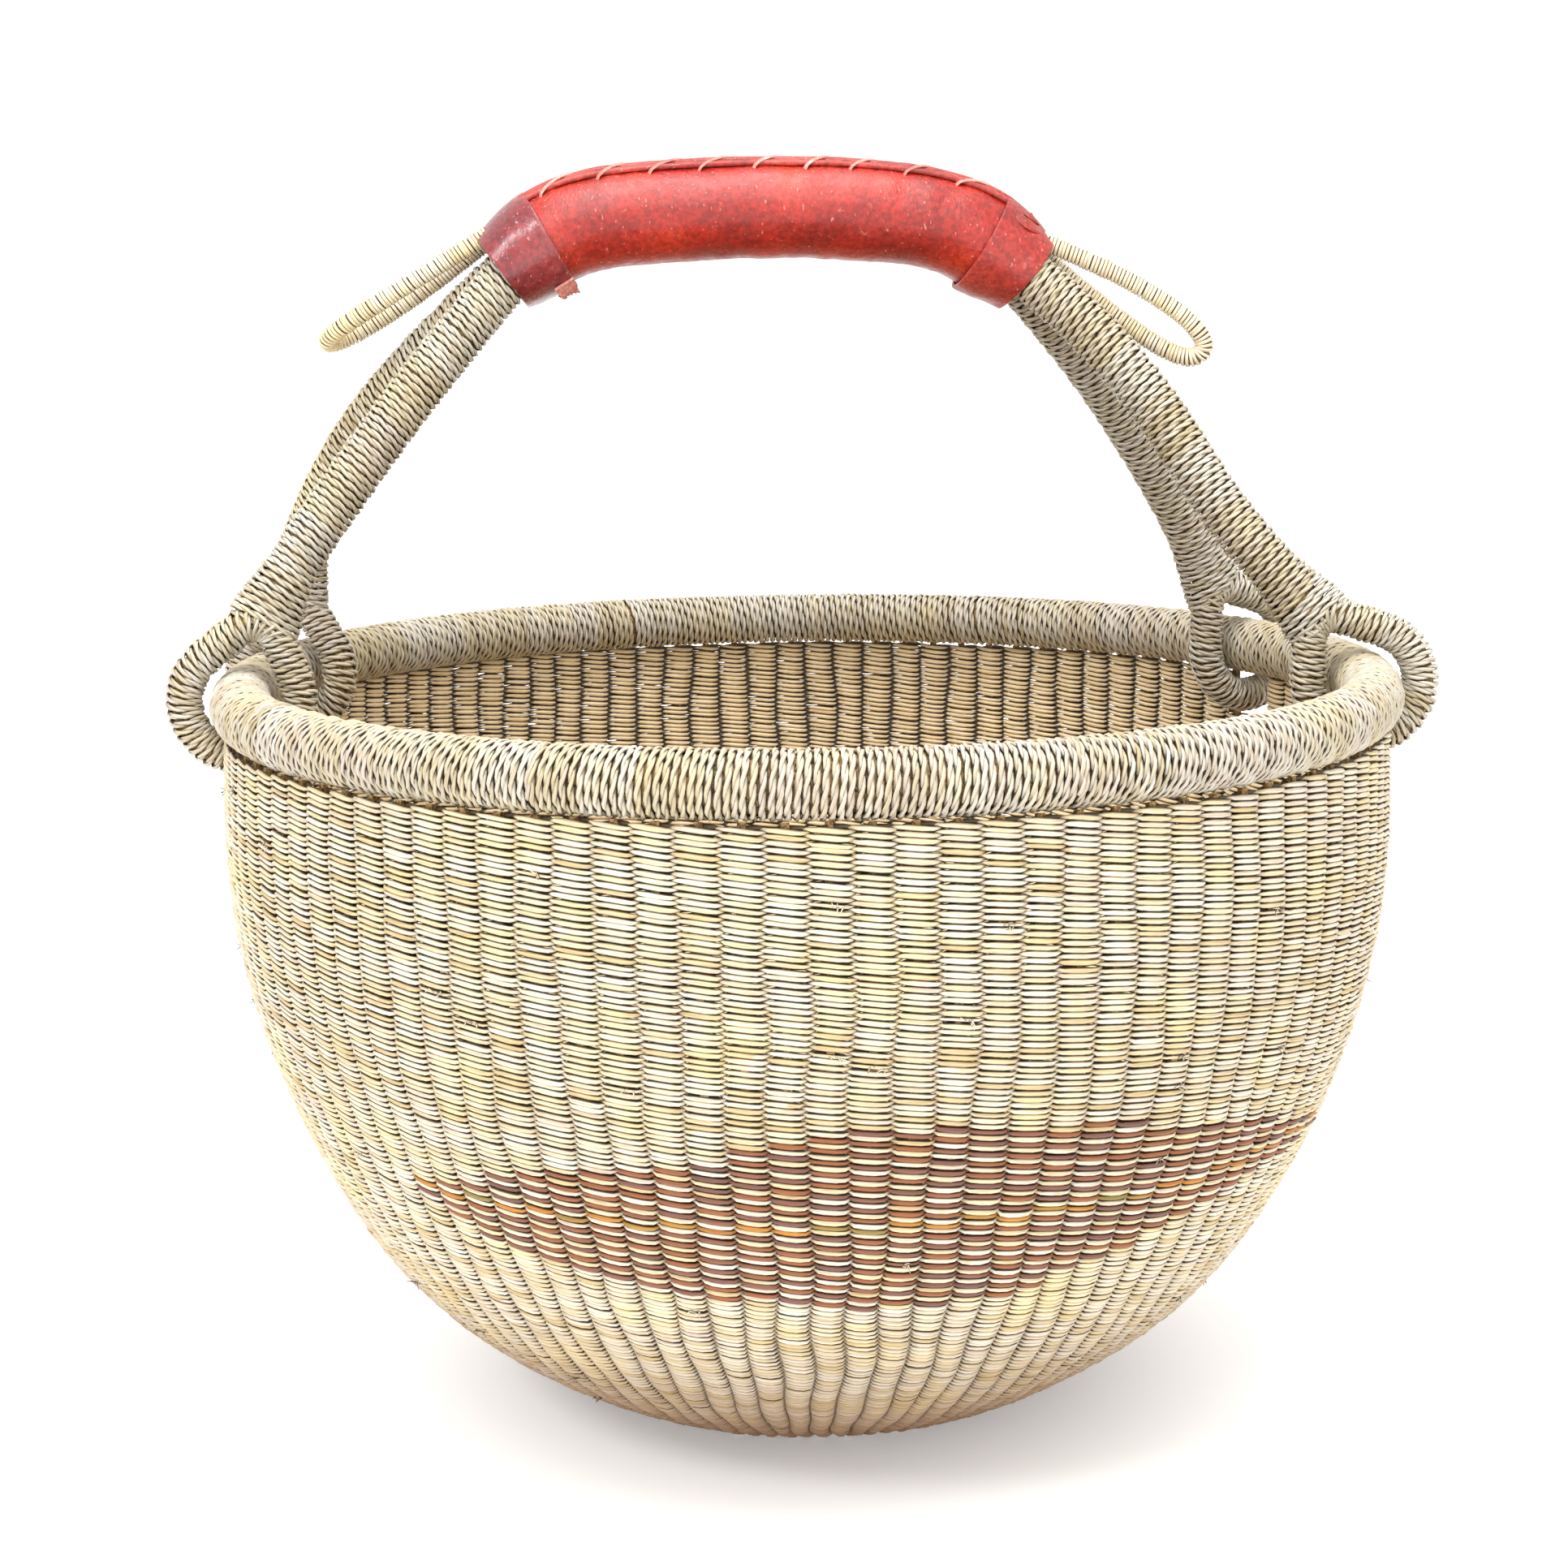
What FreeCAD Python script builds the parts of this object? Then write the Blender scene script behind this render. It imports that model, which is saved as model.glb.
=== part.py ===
"""Round twined grass market basket with an arched two-bow handle and a leather grip.

Frame: origin at the centre of the base on the surface the basket stands on, +Z up,
+X from the left handle end to the right one.  All sizes are in millimetres.
"""
import FreeCAD, Part
import math
import os

from FreeCAD import Vector

# ---------------------------------------------------------------- driving dimensions
FIT = 0.1                      # gap between two pieces of one body

RIM_RADIUS = 200.0             # centre line of the rim roll
RIM_HEIGHT = 258.0
RIM_ROLL_RADIUS = 11.0         # roll with its wrapping
RIM_CORE_RADIUS = 8.5
RIM_SECTIONS = ("right", "back_right", "back", "back_left",
                "left", "front_left", "front", "front_right")

# Outer face of the bowl: (radius, height) from the edge of the flat base to the rim.
BOWL_OUTLINE = [(60, 0), (84, 5.5), (104, 15), (126, 29), (146, 46), (164, 68), (179, 95),
                (192, 126), (203, 163), (207.5, 200), (207.6, 228), (206, 262)]
SKIN = 2.0                     # depth of the weft passes on each face of the wall
STAKE_DEPTH = 2.0
STAKE_WIDTH = 2.4
STAKES_EACH = 51               # long stakes from the centre, and as many added further out
WALL_DEPTH = 2 * SKIN + STAKE_DEPTH + 2 * FIT
START_DISC_RADIUS = 23.0
ADDED_STAKE_RADIUS = 76.0
# Heights where one run of weft ends and the next begins.
BASE_TOP = 15.0
LOWER_TOP = 86.0
DYED_TOP = 157.5

RING_RADIUS = 19.9             # centre line of a handle ring round the rim roll
RING_CORD_RADIUS = 7.0
RING_CORE_RADIUS = 4.6
CROTCH_DISTANCE = 21.0         # from the rim roll's centre to the inside top of a ring
CROTCH_BEND = 8.0
# Each ring: place round the rim and lean of its long axis towards the middle, in degrees.
RINGS = {
    "front_left": (188.0, 16.0),
    "back_left": (167.0, 6.0),
    "front_right": (-2.0, 36.0),
    "back_right": (29.0, 36.0),
}
SLOT_HALF_WIDTH = 8.3          # opening in the weave that a ring passes through
SLOT_BOTTOM = 29.2             # below the rim roll's centre
SLOT_LENGTH = 40.0             # through the wall
SLOT_REACH = 5.0               # degrees round the rim within which a slot can meet a stake

LEG_RADIUS = 9.5
LEG_CORE_RADIUS = 7.0
# Centre lines of the legs, from the grip down to the ring.
LEGS = {
    "front_left": [(-106, 8, 402), (-123.3, 3, 381), (-140.5, -3, 360), (-161.7, -12, 331),
                   (-182, -21, 302)],
    "back_left": [(-109.5, 28.5, 403), (-130.5, 31.5, 383.5), (-151.8, 34.5, 363),
                  (-169.9, 38, 340), (-183.5, 41.5, 315.6), (-190.5, 44, 297)],
    "front_right": [(84.2, 25.5, 400.5), (104, 20.5, 383), (127.2, 14, 355.6),
                    (147.7, 5, 321.2), (169, -3, 296)],
    "back_right": [(81.8, 46, 399.2), (100.2, 55, 378.2), (119.4, 66, 353.6),
                   (144.2, 81, 315.4), (155.5, 88.5, 292.4)],
}

# The grip's centre line: (x, height) in the handle's own upright plane.
GRIP_LINE = [(-92, 416.5), (-74, 423.5), (-40, 426), (-11, 426.6), (18, 426),
             (50, 422), (68, 413.5)]
GRIP_ENDS = [(-107.5, 405), (81.5, 402.5)]
HANDLE_PLANE_Y = 27.8          # where the handle's plane crosses the Y axis
HANDLE_PLANE_YAW = 5.5
BOW_SPACING = 9.7              # each bow's centre line from the grip's centre line
LEATHER_HALF_HEIGHT = 17.5
LEATHER_HALF_DEPTH = 20.0
LEATHER_THICKNESS = 1.4
BAND_THICKNESS = 1.4
BAND_LENGTH = 21.0
SEAM_LEAN = 24.0               # seam's place round the grip, towards the front
SEAM_EDGE_WIDTH = 2.2
SEAM_EDGE_HEIGHT = 1.6
SEAM_GAP = 0.8
SEAM_LIFT = 0.35               # clear of the bent leather
SEAM_MARGIN = 1.0              # from each end band
THONG_WIDTH = 1.8
THONG_THICKNESS = 0.8
THONG_STITCHES = 9

END_LOOP_CORD_RADIUS = 3.6
END_LOOP_CORE_RADIUS = 2.2
END_LOOPS = {
    "left": [(-106.9, 12.5, 420.8), (-115.6, 12, 415.9), (-136, 11, 404), (-157, 11.5, 391.5),
             (-169, 14.5, 384), (-172, 20.5, 380.5), (-165.5, 25.5, 382), (-148, 27.5, 392),
             (-128, 28, 405.8), (-116, 28, 415), (-108, 28, 420)],
    "right": [(82, 29.5, 416.8), (90.1, 29, 413), (104, 27.5, 407), (121, 26, 398.7),
              (139, 24.8, 387), (147, 24.8, 376.5), (141, 26.5, 370.8), (126.5, 30, 378),
              (110, 33.5, 390.5), (96, 36, 402), (88, 36.5, 409.5), (82, 36.5, 415)],
}

HANDLE_YAW_VECTOR = Vector(math.cos(math.radians(HANDLE_PLANE_YAW)),
                           math.sin(math.radians(HANDLE_PLANE_YAW)), 0)
HANDLE_NORMAL = Vector(-HANDLE_YAW_VECTOR.y, HANDLE_YAW_VECTOR.x, 0)
UP = Vector(0, 0, 1)
ORIGIN = Vector(0, 0, 0)
BEYOND = 400.0                 # a size past the whole basket, for cutting blocks


# ---------------------------------------------------------------- paths and tubes
def smooth_path(points):
    """Straight runs joined by tangent arcs, each as large as its two runs allow."""
    points = [Vector(*p) for p in points]
    edges = []
    start = points[0]
    for before, corner, after in zip(points, points[1:], points[2:]):
        along = (corner - before).normalize()
        onward = (after - corner).normalize()
        turn = along.getAngle(onward)
        reach = 0.45 * min(corner.distanceToPoint(before), corner.distanceToPoint(after))
        enter = corner - along * reach
        leave = corner + onward * reach
        radius = reach / math.tan(turn / 2)
        inward = (onward - along).normalize()
        middle = corner + inward * (radius / math.cos(turn / 2) - radius)
        edges.append(Part.LineSegment(start, enter).toShape())
        edges.append(Part.Arc(enter, middle, leave).toShape())
        start = leave
    edges.append(Part.LineSegment(start, points[-1]).toShape())
    return Part.Wire(edges)


def tube(path, radius):
    """A solid round tube along a path, closed or open."""
    first = path.OrderedEdges[0]
    start = first.valueAt(first.FirstParameter)
    tangent = first.tangentAt(first.FirstParameter)
    section = Part.Wire(Part.Circle(start, tangent, radius).toShape())
    return path.makePipeShell([section], True, False)


def oval_tube(path, half_height, half_depth):
    """A solid tube of oval section, along a path in the handle's plane."""
    first = path.OrderedEdges[0]
    start = first.valueAt(first.FirstParameter)
    tangent = first.tangentAt(first.FirstParameter)
    height_axis = tangent.cross(HANDLE_NORMAL).normalize()
    oval = Part.Ellipse(start + HANDLE_NORMAL * half_depth,
                        start + height_axis * half_height, start)
    return path.makePipeShell([Part.Wire(oval.toShape())], True, False)


def section_tube(path, corners):
    """A solid of straight-sided section along a path in the handle's plane.

    corners are (forward, upward) distances from the path's start.
    """
    first = path.OrderedEdges[0]
    start = first.valueAt(first.FirstParameter)
    tangent = first.tangentAt(first.FirstParameter)
    height_axis = HANDLE_NORMAL.cross(tangent).normalize() * -1
    if height_axis.z < 0:
        height_axis = height_axis * -1
    outline = [start - HANDLE_NORMAL * forward + height_axis * upward
               for forward, upward in corners]
    return path.makePipeShell([Part.makePolygon(outline + outline[:1])], True, False)


def solids(shape):
    """The solids of a shape, as one compound when there are several."""
    found = shape.Solids
    return found[0] if len(found) == 1 else Part.makeCompound(found)


# ---------------------------------------------------------------- basket
def wall_line(depth):
    """The bowl's outline moved inwards by a depth, as (radius, height) vectors."""
    curve = Part.BSplineCurve()
    start_slope = Vector(1, 0.12, 0)
    end_slope = Vector(-0.03, 1, 0)
    curve.interpolate(Points=[Vector(r, z, 0) for r, z in BOWL_OUTLINE],
                      InitialTangent=start_slope, FinalTangent=end_slope)
    moved = []
    for radius, height in BOWL_OUTLINE:
        place = curve.parameter(Vector(radius, height, 0))
        slope = curve.tangent(place)[0]
        inward = Vector(-slope.y, slope.x, 0)
        moved.append(Vector(radius, height, 0) + inward * depth)
    moved[0].y = depth
    return moved


def wall_curve(depth):
    """An edge in the XZ plane that follows the wall at a depth under its outer face."""
    points = [Vector(p.x, 0, p.y) for p in wall_line(depth)]
    curve = Part.BSplineCurve()
    curve.interpolate(Points=points, InitialTangent=Vector(1, 0, 0.05),
                      FinalTangent=Vector(-0.03, 0, 1))
    return curve.toShape()


def wall_face(outer_depth, inner_depth, inner_radius):
    """Section of one layer of base and wall, from a radius on the base up to the rim."""
    outer = wall_curve(outer_depth)
    inner = wall_curve(inner_depth)
    outer_edge, outer_end = [outer.valueAt(t) for t in outer.ParameterRange]
    inner_edge, inner_end = [inner.valueAt(t) for t in inner.ParameterRange]
    outer_start = Vector(inner_radius, 0, outer_depth)
    inner_start = Vector(inner_radius, 0, inner_depth)
    edges = [Part.LineSegment(outer_start, outer_edge).toShape(), outer,
             Part.LineSegment(outer_end, inner_end).toShape(), inner,
             Part.LineSegment(inner_edge, inner_start).toShape(),
             Part.LineSegment(inner_start, outer_start).toShape()]
    return Part.Face(Part.Wire(Part.__sortEdges__(edges)))


def ring_place(name, distance=0.0):
    """A point on a ring's long axis, at a distance from the rim roll's centre."""
    angle, lean = (math.radians(value) for value in RINGS[name])
    outward = Vector(math.cos(angle), math.sin(angle), 0)
    axis = UP * math.cos(lean) - outward * math.sin(lean)
    return outward * RIM_RADIUS + UP * RIM_HEIGHT + axis * distance


def rim_roll(radius):
    return Part.makeTorus(RIM_RADIUS, radius, Vector(0, 0, RIM_HEIGHT), UP)


def ring_slots():
    """Blocks through the top of the wall, one where each handle ring passes."""
    blocks = []
    for angle, _ in RINGS.values():
        corner = Vector(RIM_RADIUS - SLOT_LENGTH / 2, -SLOT_HALF_WIDTH, RIM_HEIGHT - SLOT_BOTTOM)
        block = Part.makeBox(SLOT_LENGTH, 2 * SLOT_HALF_WIDTH, SLOT_BOTTOM, corner)
        block.rotate(ORIGIN, UP, angle)
        blocks.append(block)
    return blocks


def trimmed_below_rim(shape):
    """A wall layer cut back from the rim roll and from the ring slots."""
    above = Part.makeCylinder(BEYOND, BEYOND, Vector(0, 0, RIM_HEIGHT - FIT))
    cutters = [rim_roll(RIM_ROLL_RADIUS + FIT), above] + ring_slots()
    return shape.cut(cutters)


def band_between(shape, low, high):
    """The part of a shape between two heights."""
    slab = Part.makeCylinder(BEYOND, high - low, Vector(0, 0, low))
    return solids(shape.common(slab))


def weft_skins():
    """The weft's outside and inside passes, each in runs from the base to the rim."""
    made = {}
    for side, outer, inner in (("outer", 0, SKIN), ("inner", WALL_DEPTH - SKIN, WALL_DEPTH)):
        layer = wall_face(outer, inner, START_DISC_RADIUS + FIT).revolve(ORIGIN, UP, 360)
        layer = Part.makeSolid(layer.Shells[0]) if layer.ShapeType != "Solid" else layer
        layer = trimmed_below_rim(layer)
        made[side + "_weft_base"] = band_between(layer, -FIT, BASE_TOP)
        made[side + "_weft_lower"] = band_between(layer, BASE_TOP, LOWER_TOP)
        made[side + "_weft_dyed_band"] = band_between(layer, LOWER_TOP, DYED_TOP)
        made[side + "_weft_upper"] = band_between(layer, DYED_TOP, RIM_HEIGHT)
    return made


def stake(inner_radius):
    """One flat bundle of grass between the two weft skins, from the base to the rim."""
    depth = SKIN + FIT
    face = wall_face(depth, depth + STAKE_DEPTH, START_DISC_RADIUS + 2 * FIT)
    bar = face.extrude(Vector(0, STAKE_WIDTH, 0))
    bar.translate(Vector(0, -STAKE_WIDTH / 2, 0))
    if inner_radius > START_DISC_RADIUS + 2 * FIT:
        bar = bar.cut(Part.makeCylinder(inner_radius, RIM_HEIGHT / 2))
    roll = rim_roll(RIM_ROLL_RADIUS + FIT)
    above = Part.makeCylinder(BEYOND, BEYOND, Vector(0, 0, RIM_HEIGHT - FIT))
    return bar.cut([roll, above]).Solids[0]


def stake_set(inner_radius, first_angle):
    """Equally spaced stakes as separate solids, shortened where a ring passes."""
    pattern = stake(inner_radius)
    slots = ring_slots()
    made = []
    for index in range(STAKES_EACH):
        angle = first_angle + index * 360.0 / STAKES_EACH
        one = pattern.copy()
        one.rotate(ORIGIN, UP, angle)
        near = [slot for slot, (place, _) in zip(slots, RINGS.values())
                if abs((angle - place + 180) % 360 - 180) < SLOT_REACH]
        made.append(one.cut(near).Solids[0] if near else one)
    return Part.makeCompound(made)


def rim_wraps():
    """The wrapping round the rim roll, in sections that each began with a new length of cord."""
    step = 360.0 / len(RIM_SECTIONS)
    made = {}
    centre = Vector(RIM_RADIUS, 0, RIM_HEIGHT)
    across = Vector(0, 1, 0)
    outline = Part.Wire(Part.Circle(centre, across, RIM_ROLL_RADIUS).toShape())
    bore = Part.Wire(Part.Circle(centre, across, RIM_CORE_RADIUS + FIT).toShape())
    section = Part.Face([outline, bore])
    section.validate()
    for index, place in enumerate(RIM_SECTIONS):
        piece = section.revolve(ORIGIN, UP, step)
        piece.rotate(ORIGIN, UP, (index - 0.5) * step)
        made["rim_wrap_" + place] = solids(piece)
    return made


def basket():
    made = {
        "base_start_disc": Part.makeCylinder(START_DISC_RADIUS, WALL_DEPTH),
        "stakes_long": stake_set(START_DISC_RADIUS, 0),
        "stakes_added": stake_set(ADDED_STAKE_RADIUS, 180.0 / STAKES_EACH),
        "rim_core": rim_roll(RIM_CORE_RADIUS),
    }
    made.update(weft_skins())
    made.update(rim_wraps())
    return made


# ---------------------------------------------------------------- handle
def ring_path(name):
    """A ring's closed line: round the rim roll, then two runs to a tight bend at the crotch."""
    angle, lean = (math.radians(value) for value in RINGS[name])
    outward = Vector(math.cos(angle), math.sin(angle), 0)
    axis = UP * math.cos(lean) - outward * math.sin(lean)
    across = outward * math.cos(lean) + UP * math.sin(lean)
    centre = ring_place(name)
    bend_distance = CROTCH_DISTANCE + RING_CORD_RADIUS - CROTCH_BEND
    bend_centre = centre + axis * bend_distance
    rise = math.asin((RING_RADIUS - CROTCH_BEND) / bend_distance)
    normals = [across * (side * math.cos(rise)) + axis * math.sin(rise) for side in (1, -1)]
    low = [centre + normal * RING_RADIUS for normal in normals]
    high = [bend_centre + normal * CROTCH_BEND for normal in normals]
    edges = [Part.Arc(low[0], centre - axis * RING_RADIUS, low[1]).toShape(),
             Part.LineSegment(low[1], high[1]).toShape(),
             Part.Arc(high[1], bend_centre + axis * CROTCH_BEND, high[0]).toShape(),
             Part.LineSegment(high[0], low[0]).toShape()]
    return Part.Wire(edges)


def grip_point(x, height, forward=0.0):
    """A point in the handle's plane, or a distance in front of it."""
    across = HANDLE_YAW_VECTOR * (x / HANDLE_YAW_VECTOR.x)
    return Vector(0, HANDLE_PLANE_Y, height) + across - HANDLE_NORMAL * forward


def bow_path(left, right, forward):
    """A bow's centre line, from its left ring up through the grip to its right ring."""
    points = [tuple(ring_place(left, CROTCH_DISTANCE + 2))] + LEGS[left][::-1]
    points += [tuple(grip_point(x, z, forward)) for x, z in GRIP_LINE]
    points += LEGS[right] + [tuple(ring_place(right, CROTCH_DISTANCE + 2))]
    return smooth_path(points)


def grip_path():
    """The grip's own centre line, from one end of the leather to the other."""
    return smooth_path([tuple(grip_point(*GRIP_ENDS[0]))]
                       + [tuple(grip_point(x, z)) for x, z in GRIP_LINE]
                       + [tuple(grip_point(*GRIP_ENDS[1]))])


def end_block(side):
    """A block that holds everything beyond one end of the grip."""
    start, inner = ((GRIP_ENDS[0], GRIP_LINE[0]) if side == "left"
                    else (GRIP_ENDS[1], GRIP_LINE[-1]))
    face = grip_point(*start)
    outward = (face - grip_point(*inner)).normalize()
    block = Part.makeBox(BEYOND, BEYOND, BEYOND, Vector(-BEYOND / 2, -BEYOND / 2, 0))
    turn = FreeCAD.Rotation(UP, outward)
    block.Placement = FreeCAD.Placement(face, turn)
    return block


def largest(shape):
    """The biggest solid of a shape, without the scraps that a cut leaves behind."""
    return max(shape.Solids, key=lambda solid: solid.Volume)


def bows(rings, grip_ends):
    """The two bow cores, and the wrapping on each of the four legs."""
    made = {}
    for bow, forward in (("front", BOW_SPACING), ("back", -BOW_SPACING)):
        left, right = bow + "_left", bow + "_right"
        path = bow_path(left, right, forward)
        core = tube(path, LEG_CORE_RADIUS)
        sleeve = tube(path, LEG_RADIUS).cut(tube(path, LEG_CORE_RADIUS + FIT))
        for side, ring in (("left", rings[left]), ("right", rings[right])):
            core = largest(core.cut(ring))
            leg = sleeve.common(grip_ends[side])
            made["leg_wrap_%s_%s" % (bow, side)] = largest(leg.cut(ring))
        made["bow_core_" + bow] = core
    return made


def ring_pieces():
    """Core and wrapping of the four rings, and the plain ring shapes that trim the legs."""
    made = {}
    shapes = {}
    for name in RINGS:
        path = ring_path(name)
        outside = tube(path, RING_CORD_RADIUS)
        made["ring_core_" + name] = tube(path, RING_CORE_RADIUS)
        made["ring_wrap_" + name] = outside.cut(tube(path, RING_CORE_RADIUS + FIT))
        shapes[name] = tube(path, RING_CORD_RADIUS + FIT)
    return made, shapes


def path_slice(path, start, length):
    """The part of a path from one distance along it, as a wire."""
    edges = []
    end = start + length
    reached = 0.0
    for edge in path.OrderedEdges:
        low = max(start - reached, 0.0)
        high = min(end - reached, edge.Length)
        if high - low > 1e-6:
            first = edge.getParameterByLength(low)
            last = edge.getParameterByLength(high)
            edges.append(edge.Curve.toShape(first, last) if edge.Orientation == "Forward"
                         else edge.Curve.toShape(last, first))
        reached += edge.Length
    return Part.Wire(edges)


def grip():
    """Padding, leather sleeve, end bands, seam edges and lacing."""
    path = grip_path()
    seats = [tube(bow_path("front_left", "front_right", BOW_SPACING), LEG_CORE_RADIUS + FIT),
             tube(bow_path("back_left", "back_right", -BOW_SPACING), LEG_CORE_RADIUS + FIT)]
    inner_height = LEATHER_HALF_HEIGHT - LEATHER_THICKNESS
    inner_depth = LEATHER_HALF_DEPTH - LEATHER_THICKNESS
    padding = oval_tube(path, inner_height - FIT, inner_depth - FIT).cut(seats)
    sleeve_out = oval_tube(path, LEATHER_HALF_HEIGHT, LEATHER_HALF_DEPTH)
    sleeve = sleeve_out.cut(oval_tube(path, inner_height, inner_depth))
    made = {"grip_padding": largest(padding),
            "grip_leather": solids(sleeve)}
    for side, start in (("left", 0.0), ("right", path.Length - BAND_LENGTH)):
        part = path_slice(path, start, BAND_LENGTH)
        grow = BAND_THICKNESS + FIT
        outside = oval_tube(part, LEATHER_HALF_HEIGHT + grow, LEATHER_HALF_DEPTH + grow)
        inside = oval_tube(part, LEATHER_HALF_HEIGHT + FIT, LEATHER_HALF_DEPTH + FIT)
        made["grip_band_" + side] = solids(outside.cut(inside))
    made.update(seam(path))
    return made


def seam(path):
    """The two raised leather edges along the top of the grip, and the thong laced over them."""
    lean = math.radians(SEAM_LEAN)
    covered = BAND_LENGTH + SEAM_MARGIN
    run = path_slice(path, covered, path.Length - 2 * covered)
    forward = LEATHER_HALF_DEPTH * math.sin(lean)
    upward = LEATHER_HALF_HEIGHT * math.cos(lean)
    along_skin = (math.cos(lean), -math.sin(lean))
    off_skin = (math.sin(lean), math.cos(lean))

    def corner(around, above):
        return (forward + around * along_skin[0] + above * off_skin[0],
                upward + around * along_skin[1] + above * off_skin[1])

    edges = []
    for side in (1, -1):
        near = side * SEAM_GAP / 2
        far = side * (SEAM_GAP / 2 + SEAM_EDGE_WIDTH)
        corners = [corner(near, SEAM_LIFT), corner(far, SEAM_LIFT),
                   corner(far, SEAM_LIFT + SEAM_EDGE_HEIGHT),
                   corner(near, SEAM_LIFT + SEAM_EDGE_HEIGHT)]
        edges.append(section_tube(run, corners))
    half_span = SEAM_GAP / 2 + SEAM_EDGE_WIDTH
    base = SEAM_LIFT + SEAM_EDGE_HEIGHT + FIT
    stitches = []
    pitch = run.Length / THONG_STITCHES
    for index in range(THONG_STITCHES):
        part = path_slice(run, (index + 0.5) * pitch - THONG_WIDTH / 2, THONG_WIDTH)
        corners = [corner(-half_span, base), corner(half_span, base),
                   corner(half_span, base + THONG_THICKNESS),
                   corner(-half_span, base + THONG_THICKNESS)]
        stitches.append(section_tube(part, corners))
    return {"grip_seam_edges": Part.makeCompound(edges),
            "grip_lacing": Part.makeCompound(stitches)}


def end_loops(grip_ends):
    """The small loops of wrapped cord that stand out from under each end band."""
    made = {}
    for side, points in END_LOOPS.items():
        path = smooth_path(points)
        outside = tube(path, END_LOOP_CORD_RADIUS)
        core = tube(path, END_LOOP_CORE_RADIUS)
        wrap = outside.cut(tube(path, END_LOOP_CORE_RADIUS + FIT))
        made["end_loop_core_" + side] = solids(core.common(grip_ends[side]))
        made["end_loop_wrap_" + side] = solids(wrap.common(grip_ends[side]))
    return made


def handle():
    ring_nodes, ring_shapes = ring_pieces()
    grip_ends = {side: end_block(side) for side in ("left", "right")}
    made = dict(ring_nodes)
    made.update(bows(ring_shapes, grip_ends))
    made.update(grip())
    made.update(end_loops(grip_ends))
    return made


def main():
    os.makedirs("parts", exist_ok=True)
    nodes = basket()
    nodes.update(handle())
    for name, shape in nodes.items():
        shape.exportStep(os.path.join("parts", name + ".step"))
        print("%-28s %3d solid(s) %10.1f mm3 valid %s"
              % (name, len(shape.Solids), shape.Volume, shape.isValid()))


main()
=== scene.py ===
"""Looks of a round market basket twined from elephant grass, with a leather grip on its handle.

The bowl is pairs of grass strands twined round upright stakes, row on row.  The rim, the four
legs of the handle and the rings that hold it are grass cores bound with two-ply grass cord.
"""
import logging
import math
from dataclasses import dataclass, field
from enum import Enum
from typing import Any, Callable, Optional, Sequence

import bmesh
import bpy
import numpy as np
from mathutils import Matrix, Vector, noise


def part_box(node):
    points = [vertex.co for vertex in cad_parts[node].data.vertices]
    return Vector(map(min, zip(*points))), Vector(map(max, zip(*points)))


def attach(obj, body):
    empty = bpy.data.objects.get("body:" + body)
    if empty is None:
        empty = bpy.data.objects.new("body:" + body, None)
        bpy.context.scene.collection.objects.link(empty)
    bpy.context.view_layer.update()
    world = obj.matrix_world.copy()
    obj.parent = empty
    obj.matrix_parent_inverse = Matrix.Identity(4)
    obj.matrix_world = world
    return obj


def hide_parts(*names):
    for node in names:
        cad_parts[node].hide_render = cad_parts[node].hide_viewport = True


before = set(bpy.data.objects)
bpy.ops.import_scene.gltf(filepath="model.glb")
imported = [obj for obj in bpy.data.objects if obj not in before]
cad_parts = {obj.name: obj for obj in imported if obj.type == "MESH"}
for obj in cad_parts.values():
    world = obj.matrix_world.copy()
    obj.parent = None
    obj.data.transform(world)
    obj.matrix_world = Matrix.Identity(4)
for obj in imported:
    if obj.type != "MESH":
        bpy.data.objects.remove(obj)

LOG = logging.getLogger("basket")
MM = 0.001
TURN = 2 * math.pi
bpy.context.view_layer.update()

Points = Sequence[Sequence[float]]


class Side(Enum):
    """Left or right end of the handle."""

    LEFT = "left"
    RIGHT = "right"


class Section(Enum):
    """How round a strand's section is: the curve's bevel resolution."""

    FOUR_SIDES = 0
    SIX_SIDES = 1
    EIGHT_SIDES = 2
    MANY_SIDES = 22

    @property
    def sides(self) -> int:
        """Number of corners in the section."""
        return 4 + 2 * self.value


class Wave(Enum):
    """Which way a slow unevenness of the wall goes: the number of its row of phases."""

    OUTWARD = 0
    UPWARD = 1


# ------------------------------------------------------------------ sizes, in millimetres
RIM_RADIUS = 200.0
RIM_HEIGHT = 258.0
RIM_ROLL_RADIUS = 11.0
RING_RADIUS = 19.9
RING_CORD_RADIUS = 7.0
CROTCH_DISTANCE = 21.0
CROTCH_BEND = 8.0
LEG_RADIUS = 9.5
END_LOOP_CORD_RADIUS = 3.6
CORD_THICKNESS = 2.4
# How far each strand's streaks are moved on from the last one's, so that neighbours differ.
STREAK_SHIFT = 37.0

# Each ring: place round the rim and lean of its long axis towards the middle, in degrees.
RINGS = {
    "front_left": (188.0, 16.0),
    "back_left": (167.0, 6.0),
    "front_right": (-2.0, 36.0),
    "back_right": (29.0, 36.0),
}
LEGS = {
    "front_left": [(-106, 8, 402), (-123.3, 3, 381), (-140.5, -3, 360), (-161.7, -12, 331),
                   (-182, -21, 302)],
    "back_left": [(-109.5, 28.5, 403), (-130.5, 31.5, 383.5), (-151.8, 34.5, 363),
                  (-169.9, 38, 340), (-183.5, 41.5, 315.6), (-190.5, 44, 297)],
    "front_right": [(84.2, 25.5, 400.5), (104, 20.5, 383), (127.2, 14, 355.6),
                    (147.7, 5, 321.2), (169, -3, 296)],
    "back_right": [(81.8, 46, 399.2), (100.2, 55, 378.2), (119.4, 66, 353.6),
                   (144.2, 81, 315.4), (155.5, 88.5, 292.4)],
}
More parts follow.
